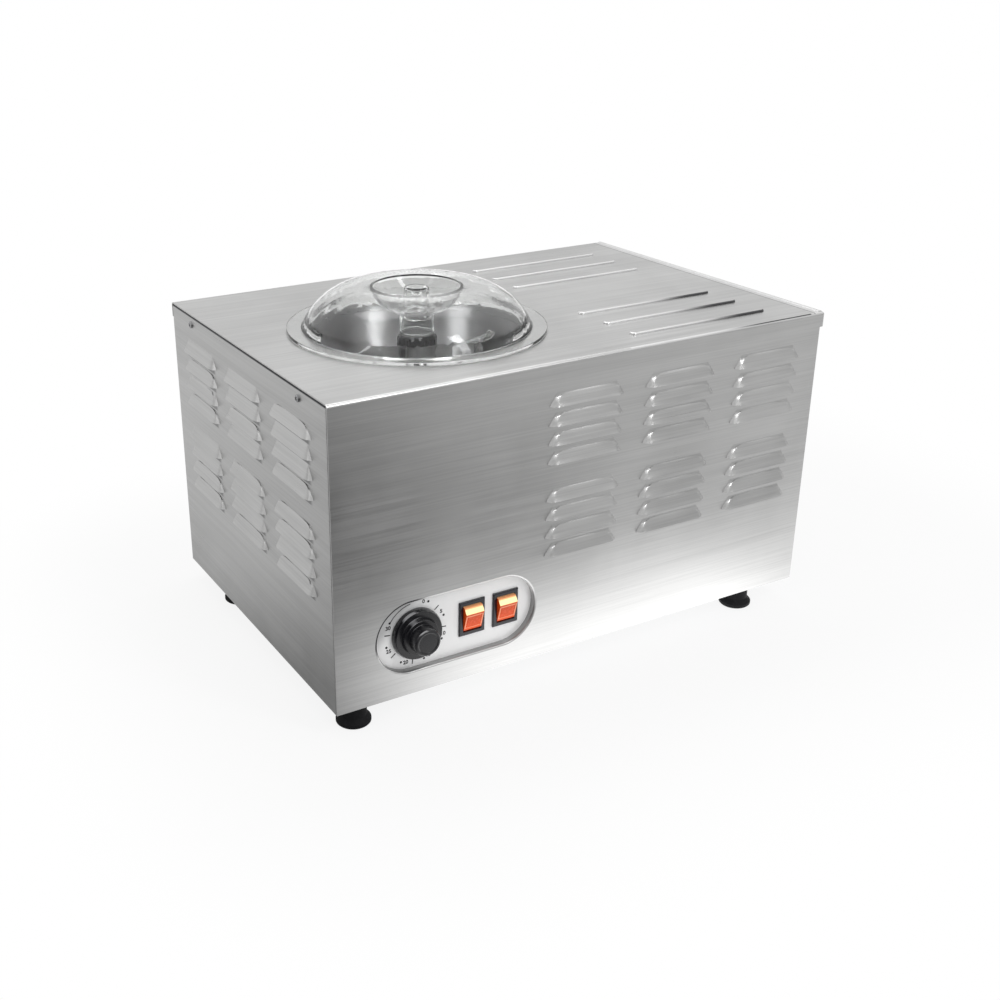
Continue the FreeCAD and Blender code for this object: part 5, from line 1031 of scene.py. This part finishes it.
class SetStudio(bpy.types.Operator):
    """Sets up the pale floor, the lamps and the camera"""

    bl_idname = "ice_cream.set_studio"
    bl_label = "Studio"

    def execute(self, context):
        studio = context.scene.studio_settings
        context.scene.view_settings.view_transform = "Standard"
        self.floor(studio)
        self.world(studio)
        self.lamps()
        self.camera(context.scene, studio)
        return {"FINISHED"}

    def seen(self, light):
        """1 where the camera sees a thing straight, through clear plastic or thrown back inside it."""
        straight = light.ray("Is Camera Ray")
        through = light.ray("Is Transmission Ray")
        mirrored = light.ray("Glossy Depth")
        walls = light.ray("Transmission Depth")
        inside = (mirrored < 3.5) * (mirrored > 0.5) * (walls > 1.5) * (walls < 2.5)
        return (straight.math("MAXIMUM", through) * (mirrored < 0.5) + inside).math("MINIMUM", 1.0)

    def floor(self, studio):
        """A white sweep: the camera sees it white, and polished metal sees it fade away from the machine."""
        bpy.ops.mesh.primitive_plane_add(size=60.0)
        floor = bpy.context.object
        floor.name = "studio_floor"
        finish = Finish("studio_floor", {"Roughness": 0.9, "Specular IOR Level": 0.0})
        finish.set("Base Color", studio.floor)
        shadow_middle, shadow_half_length, shadow_half_depth = 0.12, 0.34, 0.2
        x = finish.axis("X")
        ahead = finish.axis("Y") * -1.0
        aside = (abs(x - shadow_middle) - shadow_half_length).math("MAXIMUM", 0.0)
        away = (abs(ahead) - shadow_half_depth).math("MAXIMUM", 0.0)
        distance = (aside * aside + away * away).math("SQRT")
        at_left = x.ramp(-0.36, -0.27, 0.2, 0.0) * x.ramp(-0.48, -0.38)
        pool = ahead.band(0.0, 0.2, 0.19, 0.4) * x.ramp(-0.3, -0.05)
        far = x.ramp(-0.15, 0.5, 0.14, 0.6)
        shaded = x.ramp(-0.12, 0.1, 0.09, 0.0) * ahead.band(0.35, 0.5, 0.65, 0.85)
        behind = ahead.ramp(-0.22, 0.12, 0.31, 0.0) + ahead.ramp(-0.8, -0.25, 0.16, 0.0)
        mirrored = pool * x.ramp(0.16, 0.36, 1.7, 0.7) + far + at_left - shaded + behind
        seen = self.seen(finish)
        strength = seen + (1.0 - seen) * mirrored
        glow = finish.node("ShaderNodeEmission", None, {"Color": (1, 1, 1), "Strength": strength})
        diffuse = finish.ray("Is Diffuse Ray")
        factor = distance.ramp(0.04, 0.3, 0.86, 1.0) * (1.0 - diffuse)
        blend = finish.node("ShaderNodeMixShader", None, {0: factor, 2: glow})
        finish.links.new(finish.shader.outputs[0], blend.socket.node.inputs[1])
        finish.links.new(blend.socket, finish.nodes["Material Output"].inputs["Surface"])
        floor.data.materials.append(finish.material)

    def world(self, studio):
        """Even light from all round; polished metal sees a room that is paler above and to the right."""
        world = bpy.data.worlds.new("studio_world")
        bpy.context.scene.world = world
        world.use_nodes = True
        light = Network(world.node_tree)
        toward = light.node("ShaderNodeTexCoord", output="Generated")
        rise = light.part(toward, "Z")
        right = light.part(toward, "X")
        back = light.part(toward, "Y")
        room = rise.ramp(0.0, 0.55, studio.horizon, studio.ceiling) + right * 0.08 + back * 0.1
        diffuse = light.ray("Is Diffuse Ray")
        walls = light.ray("Transmission Depth")
        level = (right * right + back * back).math("SQRT")
        streaks = rise.ramp(0.2, 0.45, 0.0, 16.0)
        bowl = 0.02 + self.strip(right, back, level, -77.0, 8.0) * streaks
        bowl = bowl + self.strip(right, back, level, 19.0, 8.0) * streaks
        bowl = bowl + self.strip(right, back, level, 12.0, 38.0) * 0.25
        under = (walls > 3.5) * back.fall(0.05, 0.35)
        room = room + self.strip(right, back, level, -143.8, 40.0) * rise.ramp(0.05, 0.3, 0.4, 0.0)
        room = room * (1.0 - under) + bowl * under
        seen = self.seen(light)
        strength = seen + (1.0 - seen) * (diffuse * studio.world + (1.0 - diffuse) * room)
        light.feed(light.nodes["Background"].inputs["Color"], (1, 1, 1))
        light.feed(light.nodes["Background"].inputs["Strength"], strength)

    def strip(self, right, back, level, azimuth, half):
        """1 in an upright strip of the room, at an azimuth from the front, so many degrees to each side."""
        turn = math.radians(azimuth)
        toward = (right * math.sin(turn) - back * math.cos(turn)) / level.math("MAXIMUM", 0.001)
        return toward.ramp(math.cos(math.radians(half * 1.2)), math.cos(math.radians(half * 0.8)))

    def lamps(self):
        """Large soft boxes: overhead, at the front right and at the left, whose streaks stand in the bowl."""
        for name, at, aim, size, power in (
            ("overhead_softbox", (0.15, 0.5, 1.7), (0.0, 0.0, 0.2), (1.6, 0.6), 5.0),
            ("front_softbox", (0.4, -1.25, 1.45), (-0.09, 0.0, 0.2), (0.3, 0.9), 6.0),
            ("left_softbox", (-1.45, -0.4, 1.3), (-0.09, 0.0, 0.2), (0.3, 0.9), 0.8),
        ):
            bpy.ops.object.light_add(type="AREA", location=at)
            lamp = bpy.context.object
            lamp.name = name
            lamp.data.shape = "RECTANGLE"
            lamp.data.size, lamp.data.size_y = size
            lamp.data.energy = power
            lamp.rotation_euler = (Vector(aim) - Vector(at)).to_track_quat("-Z", "Y").to_euler()

    def camera(self, scene, studio):
        """The photo's camera: back points from the target to it."""
        azimuth, elevation, roll = studio.azimuth, studio.elevation, studio.roll
        level = Vector((math.sin(azimuth), -math.cos(azimuth), 0))
        back = level * math.cos(elevation) + Vector((0, 0, math.sin(elevation)))
        right = Vector((math.cos(azimuth), math.sin(azimuth), 0))
        up = back.cross(right)
        turned_right = right * math.cos(roll) + up * math.sin(roll)
        turned_up = up * math.cos(roll) - right * math.sin(roll)
        bpy.ops.object.camera_add()
        camera = bpy.context.object
        camera.name = "studio_camera"
        turn = Matrix((turned_right, turned_up, back)).transposed().to_4x4()
        camera.matrix_world = Matrix.Translation(Vector(studio.target) + back * studio.distance) @ turn
        camera.data.sensor_width = 36.0
        camera.data.lens = studio.lens
        camera.data.shift_x, camera.data.shift_y = studio.shift
        scene.camera = camera


class LooksPanel(bpy.types.Panel):
    """Lists the steps that dress the machine"""

    bl_label = "Ice Cream Machine"
    bl_idname = "VIEW3D_PT_ice_cream_looks"
    bl_space_type = "VIEW_3D"
    bl_region_type = "UI"
    bl_category = "Ice Cream"

    def draw(self, context):
        for group in (context.scene.casing_looks, context.scene.control_looks, context.scene.studio_settings):
            box = self.layout.box()
            for name in group.__annotations__:
                box.prop(group, name)
        for step in STEPS:
            self.layout.operator(step.bl_idname)


GROUPS = {"casing_looks": CasingLooks, "control_looks": ControlLooks, "studio_settings": StudioSettings}
STEPS = (DressCasing, DressFixings, DressFeet, DressTimer, DressSwitches, DressLid, DressBowl, DressDrive,
         DressRefrigeration, DressElectrics, SetStudio)


def register():
    for kind in (*GROUPS.values(), *STEPS, LooksPanel):
        bpy.utils.register_class(kind)
    for name, kind in GROUPS.items():
        setattr(bpy.types.Scene, name, PointerProperty(type=kind))


def unregister():
    for name in GROUPS:
        delattr(bpy.types.Scene, name)
    for kind in (LooksPanel, *reversed(STEPS), *reversed(GROUPS.values())):
        bpy.utils.unregister_class(kind)


def main():
    """Runs every step."""
    register()
    for step in STEPS:
        group, name = step.bl_idname.split(".")
        getattr(getattr(bpy.ops, group), name)()


if __name__ == "__main__":
    main()
